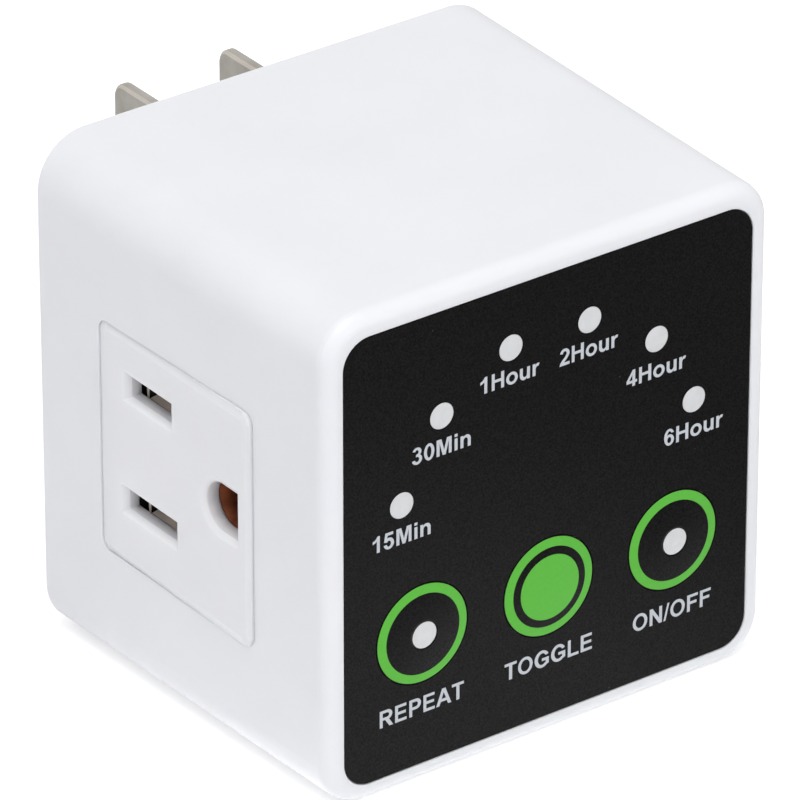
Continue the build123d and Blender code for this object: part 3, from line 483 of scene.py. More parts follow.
@dataclass(frozen=True)
class Laminate:
    """Glass-epoxy board: solder mask over tracks and a faint weave."""

    name: str
    mask: Color
    copper: Color
    weave: float = 0.45 * MM
    weave_bands: int = 20  # bands of the wave in one unit of its scale
    weave_depth: float = 0.004 * MM
    track: float = 2.6 * MM
    track_edge: Point = (0.38, 0.42)  # where a track ends in its cell

    def material(self) -> Material:
        """Makes the finish.

        Returns:
            The material.
        """
        tree = ShaderTree(self.name)
        scale = 1 / (self.weave_bands * self.weave)
        waves = [tree.node("TexWave", {"bands_direction": axis}, vector=tree.place(), scale=scale)
                 for axis in "XZ"]
        weave = tree.math("ADD", *(wave.outputs["Fac"] for wave in waves))
        cells = tree.add("TexVoronoi", {"distance": "MANHATTAN"}, vector=tree.place(),
                         scale=1 / self.track)
        track = tree.span(cells, *self.track_edge, 1.0, 0.0)
        tree.dress(
            base_color=tree.blend(track, self.mask, self.copper),
            roughness=0.3,
            coat_weight=0.3,
            normal=tree.relief(weave, self.weave_depth),
        )
        return tree.material


@dataclass(frozen=True)
class Banded:
    """Lacquered component body with printed bands across X."""

    name: str
    body: Color
    band: Color
    centre: float
    bands: tuple[float, ...]
    width: float = 0.45 * MM
    roughness: float = 0.3
    grain: float = 0.3 * MM
    grain_depth: float = 0.003 * MM

    def material(self) -> Material:
        """Makes the finish.

        Returns:
            The material.
        """
        tree = ShaderTree(self.name)
        across = tree.math("SUBTRACT", tree.add("SeparateXYZ", vector=tree.place()), self.centre)
        inked = 0.0
        for place in self.bands:
            distance = tree.math("ABSOLUTE", tree.math("SUBTRACT", across, place))
            inked = tree.math("MAXIMUM", inked, tree.math("LESS_THAN", distance, self.width / 2))
        tree.dress(
            base_color=tree.blend(inked, self.body, self.band),
            roughness=self.roughness,
            normal=tree.relief(tree.noise(self.grain), self.grain_depth),
        )
        return tree.material


# ---------------------------------------------------------------- mesh helpers
def new_piece(name: str, data: bpy.types.ID) -> Piece:
    """Links data into the scene as an object at the origin.

    Args:
        name: the object's name.
        data: a mesh, curve, camera or lamp.

    Returns:
        The object.
    """
    piece = bpy.data.objects.new(name, data)
    bpy.context.scene.collection.objects.link(piece)
    return piece


def plain_mesh(holder: Piece) -> bpy.types.Mesh:
    """Takes an object's evaluated shape.

    Args:
        holder: the object, with its modifiers.

    Returns:
        The shape as a plain mesh.
    """
    bpy.context.view_layer.update()
    graph = bpy.context.evaluated_depsgraph_get()
    shape = holder.evaluated_get(graph)
    return bpy.data.meshes.new_from_object(shape, preserve_all_data_layers=True, depsgraph=graph)


def bmesh_piece(name: str, build: bmesh.types.BMesh) -> Piece:
    """Turns a bmesh into a piece and frees it.

    Args:
        name: the piece's name.
        build: the bmesh.

    Returns:
        The piece.
    """
    mesh = bpy.data.meshes.new(name)
    build.to_mesh(mesh)
    build.free()
    return new_piece(name, mesh)


def lathe(
    name: str, profile: Sequence[Point], zones: Sequence[int] | None = None,
    axis: Point = (0.0, 0.0), segments: int = 96,
) -> Piece:
    """Turns a profile about an axis along Y.

    Args:
        name: the piece's name.
        profile: points as (radius, depth along Y); a ring is closed by repeating its first point.
        zones: material index of each stretch between two points, or None for one material.
        axis: the axis's x and z.
        segments: stretches round the axis.

    Returns:
        The closed piece.
    """
    build = bmesh.new()
    rings = []
    for radius, y in profile:
        count = segments if radius > 0 else 1
        angles = [2 * pi * i / segments for i in range(count)]
        rings.append([build.verts.new((axis[0] + radius * cos(a), y, axis[1] + radius * sin(a)))
                      for a in angles])
    for first, second, zone in zip(rings, rings[1:], zones or [0] * (len(rings) - 1)):
        for i in range(segments):
            j = (i + 1) % segments
            corners = [first[i % len(first)], first[j % len(first)],
                       second[j % len(second)], second[i % len(second)]]
            face = build.faces.new(dict.fromkeys(corners))
            face.material_index = zone
            face.smooth = True
    bmesh.ops.remove_doubles(build, verts=build.verts, dist=MERGE)
    bmesh.ops.recalc_face_normals(build, faces=build.faces)
    return bmesh_piece(name, build)


def rounded_copy(
    node: str, name: str, width: Callable[[Vector], float],
    adjust: Callable[[Vector], None] | None = None, steps: int = 3, sharp: float = radians(12),
) -> Piece:
    """Copy of a solid whose edges are softly rounded.

    Args:
        node: the solid.
        name: the copy's name.
        width: gives the rounding's width at an edge's middle.
        adjust: moves one point of the copy, before the rounding.
        steps: facets across the rounding.
        sharp: edges that turn by less than this are left as they are.

    Returns:
        The copy.
    """
    build = bmesh.new()
    build.from_mesh(frame["nodes"][node].data)
    bmesh.ops.remove_doubles(build, verts=build.verts, dist=MERGE)
    for vert in build.verts:
        if adjust:
            adjust(vert.co)
    bmesh.ops.dissolve_limit(build, angle_limit=COPLANAR, verts=build.verts, edges=build.edges)
    weight = build.edges.layers.float.new("bevel_weight_edge")
    widths = {e: width((e.verts[0].co + e.verts[1].co) / 2)
              for e in build.edges if e.is_manifold and e.calc_face_angle() > sharp}
    most = max(widths.values())
    for edge, value in widths.items():
        edge[weight] = value / most
    piece = bmesh_piece(name, build)
    for polygon in piece.data.polygons:
        polygon.use_smooth = True
    bevel = piece.modifiers.new("edges", "BEVEL")
    bevel.width = most
    bevel.segments = steps
    bevel.limit_method = "WEIGHT"
    bevel.harden_normals = True
    finished = plain_mesh(piece)
    piece.modifiers.clear()
    piece.data = finished
    finished.name = name
    return piece


def dress(piece: Piece, *materials: Material) -> None:
    """Gives a piece or solid its materials in place of its own.

    Args:
        piece: the piece or solid.
        materials: what it gets, in the order of its faces' indices.
    """
    slots = piece.data.materials
    if slots:
        slots.clear()
    for material in materials:
        slots.append(material)


def hand_over(piece: Piece, slot: str, body: Body, *nodes: str) -> Piece:
    """Puts a finished piece on its body, in the place of its solids.

    Args:
        piece: the piece.
        slot: the record's material slot; not used.
        body: the body that it rides on.
        nodes: the solids that it stands for.

    Returns:
        The piece.
    """
    if nodes:
        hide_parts(*nodes)
    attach(piece, body.value)
    log.info("%s: %d faces on %s", piece.name, len(piece.data.polygons), body.value)
    return piece


# ---------------------------------------------------------------- lettering
STEM = 0.19  # upright strokes, in cap heights
BAR = 0.165  # level strokes
X_HEIGHT = 0.725  # of the small letters


@dataclass(frozen=True)
class Bow:
    """Stretch of an ellipse in an outline, in cap heights and degrees."""

    x: float
    y: float
    wide: float
    tall: float
    start: float = 0.0
    end: float = 360.0
    step: float = 12.0

    def points(self) -> list[Point]:
        """Sets points along the bow.

        Returns:
            The points, without the last one where the bow closes.
        """
        turn = self.end - self.start
        count = ceil(abs(turn) / self.step)
        steps = range(count + (abs(turn) < 360))
        angles = [radians(self.start + turn * i / count) for i in steps]
        return [(self.x + self.wide * cos(a), self.y + self.tall * sin(a)) for a in angles]


Outline = list[Point | Bow]


@dataclass(frozen=True)
class Glyph:
    """A letter or figure: the width that it takes and its outlines, holes among them."""

    width: float
    outlines: list[Outline]
    turned: bool = False

    def loops(self, pen: float) -> list[list[Point]]:
        """The outlines as closed loops of points.

        Args:
            pen: where the glyph starts along its line.

        Returns:
            One list of points for each outline.
        """
        found = []
        for outline in self.outlines:
            parts = [part.points() if isinstance(part, Bow) else [part] for part in outline]
            points = [point for part in parts for point in part]
            if self.turned:
                points = [(self.width - x, X_HEIGHT - y) for x, y in points]
            found.append([(pen + x, y) for x, y in points])
        return found


def ring(x: float, y: float, wide: float, tall: float) -> list[Outline]:
    """Outer and inner outline of a round letter about a centre."""
    return [[Bow(x, y, wide, tall)], [Bow(x, y, wide - STEM, tall - BAR)]]


def box(x0: float, x1: float, y0: float, y1: float) -> Outline:
    """Outline of an upright rectangle."""
    return [(x0, y0), (x1, y0), (x1, y1), (x0, y1)]


LEFT = 0.09  # first stem's left side
INNER = LEFT + STEM  # its right side
TOP_BAR = 1 - BAR
ARCH = [(LEFT, 0), (0.285, 0), Bow(0.425, 0.4, 0.14, 0.175, 180, 0), (0.565, 0), (0.76, 0),
        Bow(0.49, 0.45, 0.27, 0.29, 0, 138), (0.275, X_HEIGHT), (LEFT, X_HEIGHT)]
GLYPHS = {
    "0": Glyph(0.777, ring(0.388, 0.5, 0.335, 0.515)),
    "1": Glyph(0.777, [[(0.375, 0), (0.57, 0), (0.57, 1), (0.41, 1), (0.345, 0.885), (0.24, 0.795),
        (0.11, 0.745), (0.11, 0.575), (0.25, 0.625), (0.375, 0.705)]]),
    "2": Glyph(0.777, [[(0.04, 0), (0.72, 0), (0.72, 0.175), (0.345, 0.175), (0.43, 0.275),
        (0.56, 0.395), Bow(0.39, 0.705, 0.325, 0.305, -38, 172),
        Bow(0.39, 0.705, 0.13, 0.145, 180, -30), (0.4, 0.485), (0.2, 0.31), (0.085, 0.16)]]),
    "3": Glyph(0.777, [[Bow(0.375, 0.75, 0.29, 0.265, 165, -48),
        Bow(0.38, 0.295, 0.33, 0.31, 52, -172), Bow(0.38, 0.3, 0.135, 0.155, -170, 75), (0.3, 0.46),
        (0.32, 0.6), Bow(0.37, 0.735, 0.11, 0.13, -80, 160)]]),
    "4": Glyph(0.777, [[(0.42, 0), (0.61, 0), (0.61, 0.2), (0.735, 0.2), (0.735, 0.365),
        (0.61, 0.365), (0.61, 1), (0.445, 1), (0.03, 0.37), (0.03, 0.2), (0.42, 0.2)],
        [(0.42, 0.365), (0.42, 0.7), (0.2, 0.365)]]),
    "5": Glyph(0.777, [[(0.15, 1), (0.655, 1), (0.655, 0.825), (0.295, 0.825), (0.27, 0.665),
        Bow(0.375, 0.335, 0.335, 0.35, 105, -170), Bow(0.375, 0.325, 0.135, 0.18, -170, 150),
        (0.07, 0.47)]]),
    "6": Glyph(0.777, [[Bow(0.4, 0.5, 0.345, 0.515, 28, 270), Bow(0.4, 0.325, 0.32, 0.34, -80, 117),
        (0.24, 0.56), Bow(0.41, 0.5, 0.175, 0.36, 160, 40)],
        [Bow(0.4, 0.325, 0.13, 0.185)]]),
    "/": Glyph(0.388, [[(0, -0.015), (0.13, -0.015), (0.385, 1.015), (0.255, 1.015)]]),
    "A": Glyph(1.008, [[(0, 0), (0.215, 0), (0.3, 0.225), (0.7, 0.225), (0.79, 0), (1, 0),
        (0.61, 1), (0.39, 1)],
        [(0.36, 0.39), (0.5, 0.77), (0.645, 0.39)]]),
    "E": Glyph(0.931, [[(LEFT, 0), (0.84, 0), (0.84, BAR), (INNER, BAR), (INNER, 0.425),
        (0.79, 0.425), (0.79, 0.59), (INNER, 0.59), (INNER, TOP_BAR), (0.82, TOP_BAR), (0.82, 1),
        (LEFT, 1)]]),
    "F": Glyph(0.853, [[(LEFT, 0), (INNER, 0), (INNER, 0.425), (0.72, 0.425), (0.72, 0.59),
        (INNER, 0.59), (INNER, TOP_BAR), (0.8, TOP_BAR), (0.8, 1), (LEFT, 1)]]),
    "G": Glyph(1.087, [[Bow(0.55, 0.5, 0.485, 0.515, 28, 310), (1.005, 0.165), (1.005, 0.54),
        (0.545, 0.54), (0.545, 0.375), (0.8, 0.375), (0.8, 0.24),
        Bow(0.56, 0.5, 0.275, 0.345, -50, -330)]]),
    "H": Glyph(1.008, [[(LEFT, 0), (INNER, 0), (INNER, 0.44), (0.71, 0.44), (0.71, 0), (0.91, 0),
        (0.91, 1), (0.71, 1), (0.71, 0.61), (INNER, 0.61), (INNER, 1), (LEFT, 1)]]),
    "L": Glyph(0.853, [[(LEFT, 0), (0.8, 0), (0.8, BAR), (INNER, BAR), (INNER, 1), (LEFT, 1)]]),
    "M": Glyph(1.163, [[(LEFT, 0), (0.285, 0), (0.285, 0.79), (0.485, 0), (0.68, 0), (0.88, 0.79),
        (0.88, 0), (1.065, 0), (1.065, 1), (0.765, 1), (0.583, 0.31), (0.4, 1), (LEFT, 1)]]),
    "N": Glyph(1.008, [[(LEFT, 0), (0.28, 0), (0.28, 0.66), (0.71, 0), (0.91, 0), (0.91, 1),
        (0.72, 1), (0.72, 0.34), (INNER, 1), (LEFT, 1)]]),
    "O": Glyph(1.087, ring(0.543, 0.5, 0.48, 0.515)),
    "P": Glyph(0.931, [[(LEFT, 0), (INNER, 0), (INNER, 0.375),
        Bow(0.53, 0.6875, 0.33, 0.3125, -90, 90), (LEFT, 1)],
        [(INNER, 0.54), Bow(0.5, 0.6875, 0.155, 0.1475, -90, 90), (INNER, TOP_BAR)]]),
    "R": Glyph(1.008, [[(LEFT, 0), (INNER, 0), (INNER, 0.42), (0.44, 0.42), (0.72, 0), (0.97, 0),
        Bow(0.6, 0.71, 0.31, 0.29, -72, 90), (LEFT, 1)],
        [(INNER, 0.575), Bow(0.56, 0.705, 0.145, 0.13, -90, 90), (INNER, TOP_BAR)]]),
    "T": Glyph(0.853, [[(0.325, 0), (0.53, 0), (0.53, TOP_BAR), (0.82, TOP_BAR), (0.82, 1),
        (0.03, 1), (0.03, TOP_BAR), (0.325, TOP_BAR)]]),
    "i": Glyph(0.388, [box(0.095, 0.29, 0, X_HEIGHT), box(0.095, 0.29, 0.825, 1)]),
    "n": Glyph(0.853, [ARCH]),
    "o": Glyph(0.853, ring(0.425, X_HEIGHT / 2, 0.385, 0.38)),
    "r": Glyph(0.543, [[(LEFT, 0), (0.285, 0), (0.285, 0.34),
        Bow(0.44, 0.38, 0.155, 0.18, 180, 100), (0.49, 0.56), (0.545, 0.71), (0.45, 0.74),
        (0.35, 0.71), (0.275, 0.62), (0.275, X_HEIGHT), (LEFT, X_HEIGHT)]]),
    "u": Glyph(0.853, [ARCH], turned=True),
}


@dataclass(frozen=True)
class Legend:
    """One printed word or time, with its letters' span, baseline and cap height in millimetres."""

    text: str
    left: float
    right: float
    baseline: float
    cap_height: float
    thickness: float = 0.012

    def build(self, film_y: float, ink: Material) -> Piece:
        """Prints the legend on the film.

        Args:
            film_y: depth of the film's face.
            ink: the material.

        Returns:
            The print as a thin mesh.
        """
        curve = bpy.data.curves.new("legend", "CURVE")
        curve.dimensions = "2D"
        curve.fill_mode = "BOTH"
        curve.extrude = 0.5  # to both sides, so the print is one unit thick
        pen = 0.0
        for sign in self.text:
            for loop in GLYPHS[sign].loops(pen):
                spline = curve.splines.new("POLY")
                spline.points.add(len(loop) - 1)
                spline.points.foreach_set("co", [c for x, y in loop for c in (x, y, 0, 1)])
                spline.use_cyclic_u = True
            pen += GLYPHS[sign].width
        holder = new_piece("legend", curve)
        mesh = plain_mesh(holder)
        bpy.data.objects.remove(holder)
        xs = [v.co.x for v in mesh.vertices]
        wide = (self.right - self.left) * MM / (max(xs) - min(xs))
        place = Matrix.Translation((self.left * MM - min(xs) * wide, film_y, self.baseline * MM))
        thick, tall = self.thickness * MM, self.cap_height * MM
        scale = Matrix(((wide, 0, 0, 0), (0, 0, -thick, 0), (0, tall, 0, 0), (0, 0, 0, 1)))
        mesh.transform(place @ scale)
        build = bmesh.new()
        build.from_mesh(mesh)
        bmesh.ops.remove_doubles(build, verts=build.verts, dist=MERGE)
        bmesh.ops.recalc_face_normals(build, faces=build.faces)
        piece = bmesh_piece("print_" + self.text.replace("/", "_").lower(), build)
        dress(piece, ink)
        return hand_over(piece, "window_film", Body.HOUSING)


# ---------------------------------------------------------------- front panel
@dataclass(frozen=True)
class KeyDome:
    """Embossed spot of the film over a key: a shallow crown with a printed ring."""

    body: Body
    name: str
    rise: float = 0.43 * MM
    thickness: float = 0.3 * MM
    rim_round: float = 0.05 * MM
    ring_outer: float = 5.28 * MM
    ring_inner: float = 4.33 * MM
    disc: float = 3.5 * MM  # green middle of the toggle key
    window: float = 1.41 * MM  # opening of the others over their status windows
    steps: int = 20

    def marks(self, rim: float) -> list[tuple[float, Print]]:
        """Lists where the print changes.

        Args:
            rim: the dome's radius.

        Returns:
            Radii from the middle out, each with the colour inside it.
        """
        middle = [(self.disc, Print.GREEN)] if self.body is Body.TOGGLE else []
        return middle + [(self.ring_inner, Print.BLACK), (self.ring_outer, Print.GREEN),
                         (rim, Print.BLACK)]

    def build(self, film_y: float, finishes: Finishes) -> Piece:
        """Makes the dome in its solid's place.

        Args:
            film_y: depth of the flat film's face.
            finishes: all materials by name.

        Returns:
            The dome.
        """
        low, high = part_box(f"{self.name}_dome")
        rim = (high.x - low.x) / 2
        sphere = (rim**2 + self.rise**2) / (2 * self.rise)
        lit = self.body is not Body.TOGGLE
        radii, zones = [], []
        reach = self.window if lit else 0.0
        for mark, color in self.marks(rim):
            count = max(2, round(self.steps * (mark - reach) / rim))
            radii += [reach + (mark - reach) * i / count for i in range(count)]
            zones += [color.value] * count
            reach = mark
        radii.append(rim)

        def face(radius: float) -> float:
            """Depth of the crown's face at a radius."""
            drop = max(0.0, radius - (rim - self.rim_round))
            return film_y - (sqrt(sphere**2 - radius**2) - (sphere - self.rise)) + drop

        crown = [(r, face(r)) for r in radii]
        under = [(r, y + self.thickness) for r, y in reversed(crown)]
        points = crown + under + (crown[:1] if lit else [])
        zones += [Print.BLACK.value] * (len(points) - 1 - len(zones))
        middle = (low + high) / 2
        dome = lathe(f"{self.name}_key_dome", points, zones, (middle.x, middle.z))
        dress(dome, finishes["black_film"], finishes["green_print"])
        return hand_over(dome, "black_film", self.body, f"{self.name}_dome")


@dataclass(frozen=True)
class FrontPanel:
    """Printed film with its time windows, three domes and legends."""

    window_radius: float = 1.38 * MM
    window_thickness: float = 0.4 * MM
    window_round: float = 0.06 * MM
    window_segments: int = 64
    window_count: int = 6
    circle_radius: float = 18.1 * MM
    pitch: float = radians(30)
    time_height: float = 1.78  # cap heights of the print, in millimetres
    word_height: float = 1.86
    word_baseline: float = -18.95
    domes: tuple[KeyDome, ...] = (
        KeyDome(Body.REPEAT, "repeat"), KeyDome(Body.TOGGLE, "toggle"),
        KeyDome(Body.POWER, "power"),
    )

    def legends(self) -> list[Legend]:
        """Lists the print: a time under each window and a word under each key.

        Returns:
            The legends, from left to right.
        """
        times = (("15Min", -20.9, -14.1, 0.5), ("30Min", -16.3, -9.4, 8.55),
                 ("1Hour", -8.3, -1.3, 13.55), ("2Hour", 1.1, 8.1, 13.55),
                 ("4Hour", 9.2, 16.4, 8.6), ("6Hour", 13.9, 21.1, 0.6))
        words = (("REPEAT", -20.1, -10.1), ("TOGGLE", -5.2, 5.4), ("ON/OFF", 10.4, 20.0))
        return [*(Legend(*time, self.time_height) for time in times),
                *(Legend(*word, self.word_baseline, self.word_height) for word in words)]

    def window_disc(self) -> Piece:
        """Turns one window with a soft front edge.

        Returns:
            The window, facing forward at the origin.
        """
        r, e, rear = self.window_radius, self.window_round, self.window_thickness
        edge = [(r - e + e * sin(a), e - e * cos(a)) for a in QUARTER]
        return lathe("window_disc", [(0, 0), *edge, (r, rear), (0, rear)],
                     segments=self.window_segments)

    def time_windows(self, film_y: float, material: Material) -> Piece:
        """Sets the windows out along their arc, from the shortest time to the longest.

        Args:
            film_y: depth of the film's face.
            material: the windows' finish.

        Returns:
            The windows as one piece.
        """
        disc = self.window_disc()
        tree = ShapeTree("lamp_windows")
        count = tree.size("Count", self.window_count, "Int")
        radius = tree.size("Circle radius", self.circle_radius)
        pitch = tree.size("Pitch", self.pitch)
        depth = tree.size("Face depth", film_y)
        window = tree.shape("Window", disc)
        last = tree.math("SUBTRACT", count, 1.0)
        step = tree.math("SUBTRACT", tree.math("MULTIPLY", last, 0.5), tree.add("InputIndex"))
        angle = tree.math("ADD", tree.math("MULTIPLY", step, pitch), pi / 2)
        x, z = (tree.math("MULTIPLY", radius, tree.math(wave, angle))
                for wave in ("COSINE", "SINE"))
        place = tree.add("ShaderNodeCombineXYZ", x=x, y=depth, z=z)
        points = tree.add("Points", count=count, position=place)
        windows = tree.add("InstanceOnPoints", points=points, instance=window)
        piece = tree.mesh(windows, material)
        bpy.data.objects.remove(disc)
        return hand_over(piece, "window_film", Body.HOUSING, "time_windows")

    def build(self, finishes: Finishes) -> None:
        """Makes the panel.

        Args:
            finishes: all materials by name.
        """
        film_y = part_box("overlay_film")[0].y
        self.time_windows(film_y, finishes["window_film"])
        for dome in self.domes:
            dome.build(film_y, finishes)
        for legend in self.legends():
            legend.build(film_y, finishes["grey_print"])


# ---------------------------------------------------------------- rear
@dataclass(frozen=True)
class CoverScrews:
    """Four pan-head screws with cross recesses, in the cover's counterbores."""

    head_radius: float = 2.3 * MM
    head_height: float = 1.2 * MM
    crown: float = 0.45 * MM
    crown_steps: int = 8
    edge: float = 0.25 * MM
    segments: int = 48
    shank_radius: float = 1.25 * MM
    shank_length: float = 11 * MM
    tip_share: float = 0.6  # height of the shank's tip, in shank radii
    recess_reach: float = 1.35 * MM
    recess_width: float = 0.62 * MM
    recess_depth: float = 0.95 * MM
    recess_bottom: float = 0.45  # the cutter's reach at its bottom and its top, in recess reaches
    recess_top: float = 1.15
    seed: int = 4

    def head(self) -> Piece:
        """Turns head and shank as one blank.

        Returns:
            The blank, seated at the origin, head towards +Y.
        """
        flat, rim = self.head_radius - self.edge, self.head_height - self.crown
        sphere = (flat**2 + self.crown**2) / (2 * self.crown)
        radii = [flat * i / self.crown_steps for i in range(self.crown_steps + 1)]
        crown = [(r, rim + sqrt(sphere**2 - r**2) - (sphere - self.crown)) for r in radii]
        edge = [(flat + self.edge * sin(a), rim - self.edge * (1 - cos(a))) for a in QUARTER[1:]]
        tip = self.tip_share * self.shank_radius - self.shank_length
        shank = [(self.shank_radius, 0), (self.shank_radius, tip), (0, -self.shank_length)]
        profile = crown + edge + [(self.head_radius, 0)] + shank
        return lathe("screw_blank", profile, segments=self.segments)

    def recess(self) -> Piece:
        """Makes the cutter of the recess.

        Returns:
            A tapered cross, in the head's place.
        """
        build = bmesh.new()
        ends = ((self.head_height - self.recess_depth, self.recess_bottom),
                (self.head_height + self.edge, self.recess_top))
        for turn in (0, pi / 2):
            spin = Matrix.Rotation(turn, 3, "Y")
            loops = []
            for y, share in ends:
                x, z = self.recess_reach * share, self.recess_width / 2
                square = [Vector(p) for p in ((-x, y, -z), (x, y, -z), (x, y, z), (-x, y, z))]
                loops.append([build.verts.new(spin @ p) for p in square])
            low, high = loops
            build.faces.new(low)
            build.faces.new(list(reversed(high)))
            for i in range(4):
                j = (i + 1) % 4
                build.faces.new((low[j], low[i], high[i], high[j]))
        bmesh.ops.recalc_face_normals(build, faces=build.faces)
        return bmesh_piece("screw_recess", build)

    def build(self, material: Material) -> Piece:
        """Cuts one screw and sets four out, each turned as it happened to stop.

        Args:
            material: the screws' finish.

        Returns:
            The screws as one piece.
        """
        low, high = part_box("rear_cover_screws")
        blank, cutter = self.head(), self.recess()
        tree = ShapeTree("cover_screws")
        across = tree.size("Pitch across", high.x - low.x - 2 * self.head_radius)
        up = tree.size("Pitch up", high.z - low.z - 2 * self.head_radius)
        seat = tree.size("Seat depth", high.y - self.head_height)
        screw = tree.shape("Blank", blank)
        recess = tree.shape("Recess", cutter)
        seed = tree.size("Seed", self.seed, "Int")
        solver = {"operation": "DIFFERENCE", "solver": "EXACT"}
        cut = tree.add("MeshBoolean", solver, mesh_1=screw, mesh_2=recess, self_intersection=True)
        grid = tree.add("MeshGrid", size_x=across, size_y=up, vertices_x=2, vertices_y=2)
        lift = tree.add("ShaderNodeCombineXYZ", y=seat)
        upright = tree.add("Transform", geometry=grid, translation=lift, rotation=(pi / 2, 0, 0))
        angle = tree.add("FunctionNodeRandomValue", {"data_type": "FLOAT"}, max=pi, seed=seed)
        turn = tree.add("ShaderNodeCombineXYZ", y=angle)
        screws = tree.add("InstanceOnPoints", points=upright, instance=cut, rotation=turn)
        piece = tree.mesh(screws, material)
        for scrap in (blank, cutter):
            bpy.data.objects.remove(scrap)
        return hand_over(piece, "zinc_steel", Body.HOUSING, "rear_cover_screws")


# ---------------------------------------------------------------- receptacles and plug
@dataclass(frozen=True)
class Receptacle:
    """Face plate, carrier and contacts of one side."""

    side: Side
    half_y: float = 12.3 * MM
    half_z: float = 12.65 * MM
    middle_z: float = -0.45 * MM
    thickness: float = 1.8 * MM
    rim: float = 0.55 * MM  # how far in from the plate's outline its rim reaches
    rim_round: float = 0.18 * MM
    mouth_round: float = 0.32 * MM
    inner_round: float = 0.08 * MM
    corner: float = 1.2 * MM  # how far in the slope and the growth of the rim fade out
    slope_top: float = 0.45 * MM  # the rim's slope starts further in by these
    slope_bottom: float = 0.5 * MM
    slope_front: float = 0.2 * MM
    growth_top: float = 0.1 * MM  # the gaps round the plate are closed by these
    growth_bottom: float = 0.2 * MM
    growth_rear: float = 0.09 * MM
    growth_front: float = 0.07 * MM
    ground_front: float = 7.65 * MM  # ground hole's axis in front of the plate's middle
    ground_z: float = 0.25 * MM
    ground_reach: float = 4 * MM
    ground_growth: float = 0.2 * MM  # of the hole's lead-in
    socket_advance: float = 0.2 * MM
    funnel_edge: float = 0.35 * MM
    funnel_depth: float = 1.5 * MM
    leaf_thickness: float = 0.5 * MM
    leaf_root: float = 8.5 * MM
    leaf_reach: float = 1.6 * MM
    leaf_lift: float = 0.3 * MM
    socket_sharp: float = radians(40)  # the ground contact's edges that turn by less are left

    def named(self, ending: str) -> str:
        """Name of one of this side's solids or pieces."""
        return f"{self.side.value}_{ending}"

    def plate(self, material: Material) -> Piece:
        """Makes the face plate with soft lead-ins and a soft rim.

        Args:
            material: its finish.

        Returns:
            The plate.
        """
        node = self.named("receptacle_face")
        low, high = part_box(node)
        middle = (low + high) / 2
        front = max(abs(low.x), abs(high.x))

        def from_rim(point: Vector) -> tuple[float, float]:
            """How far inside the plate's outline a point lies, along Y and along Z."""
            return self.half_y - abs(point.y - middle.y), self.half_z - abs(point.z - self.middle_z)

        def width(point: Vector) -> float:
            """Width of the rounding at a point.

            Args:
                point: middle of an edge.

            Returns:
                The width.
            """
            if abs(point.x) < front - self.rim:
                return self.inner_round
            return self.rim_round if min(from_rim(point)) < self.rim else self.mouth_round

        def adjust(point: Vector) -> None:
            """Widens the ground hole's lead-in, slants the rim and closes the gap round it.

            Args:
                point: a point of the plate, which is moved.
            """
            if abs(point.x) < front - self.thickness - MERGE:
                return
            in_y, in_z = from_rim(point)
            reach = point - Vector((point.x, middle.y - self.ground_front, self.ground_z))
            if reach.length < self.ground_reach and abs(point.x) > front - MERGE:
                point += reach.normalized() * self.ground_growth
            if min(in_y, in_z) > self.rim:
                return
            share_y, share_z = (max(0.0, min(1.0, (self.corner - d) / (self.corner - self.rim)))
                                for d in (in_y, in_z))
            top, rear = point.z > self.middle_z, point.y > middle.y
            if abs(point.x) > front - MERGE:
                point.z += share_z * (-self.slope_top if top else self.slope_bottom)
                point.y += share_y * (0 if rear else self.slope_front)
            else:
                point.z += share_z * (self.growth_top if top else -self.growth_bottom)
                point.y += share_y * (self.growth_rear if rear else -self.growth_front)

        plate = rounded_copy(node, self.named("face_plate"), width, adjust)
        dress(plate, material)
        return hand_over(plate, "white_housing", Body.HOUSING, node)

    def ground_socket(self, material: Material) -> Piece:
        """Makes the ground contact with a long smooth funnel at its mouth.

        Args:
            material: its finish.

        Returns:
            The contact.
        """
        node = self.named("ground_contact")
        low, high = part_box(node)
        middle = (low + high) / 2
        outward = -1 if middle.x < 0 else 1
        mouth = max(abs(low.x), abs(high.x))

        def adjust(point: Vector) -> None:
            """Moves the funnel's inner end further in and its mouth further out.

            Args:
                point: a point of the contact, which is moved.
            """
            if abs(abs(point.x) - (mouth - self.funnel_edge)) < MERGE:
                point.x = outward * (mouth - self.funnel_depth)
            elif abs(point.x) > mouth - MERGE:
                point.x += outward * self.socket_advance

        socket = rounded_copy(node, self.named("ground_socket"), lambda point: self.inner_round,
                              adjust, sharp=self.socket_sharp)
        dress(socket, material)
        return hand_over(socket, "copper_brass", Body.HOUSING, node)

    def blade_socket(self, pole: Pole, finishes: Finishes) -> Piece:
        """Makes a blade contact whose leaves start close behind the slot; its faces along Y get
        painted shade.

        Args:
            pole: which contact.
            finishes: all materials by name.

        Returns:
            The contact.
        """
        node = self.named(f"{pole.value}_contact")
        low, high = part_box(node)
        middle = (low + high) / 2
        mouth = max(abs(low.x), abs(high.x))

        def adjust(point: Vector) -> None:
            """Widens the leaves and bends them together towards the slot.

            Args:
                point: a point of the contact, which is moved.
            """
            depth = mouth - abs(point.x)
            if depth > self.leaf_root or point.y > high.y - self.leaf_thickness:
                return
            if point.y > middle.y:
                point.y += self.leaf_reach
            up = 1 if point.z > middle.z else -1
            point.z -= up * self.leaf_lift * (1 - depth / self.leaf_root)

        socket = rounded_copy(node, self.named(f"{pole.value}_leaves"),
                              lambda point: self.inner_round / 2, adjust)
        # Faces that turn along Y get a dark copy of the contact metal: painted shade deep inside
        # the slot. The others keep the leaf metal.
        for polygon in socket.data.polygons:
            polygon.material_index = int(abs(polygon.normal.y) > FACING)
        dress(socket, finishes["contact_leaf"], finishes["contact_web"])
        return hand_over(socket, "nickel_brass", Body.HOUSING, node)

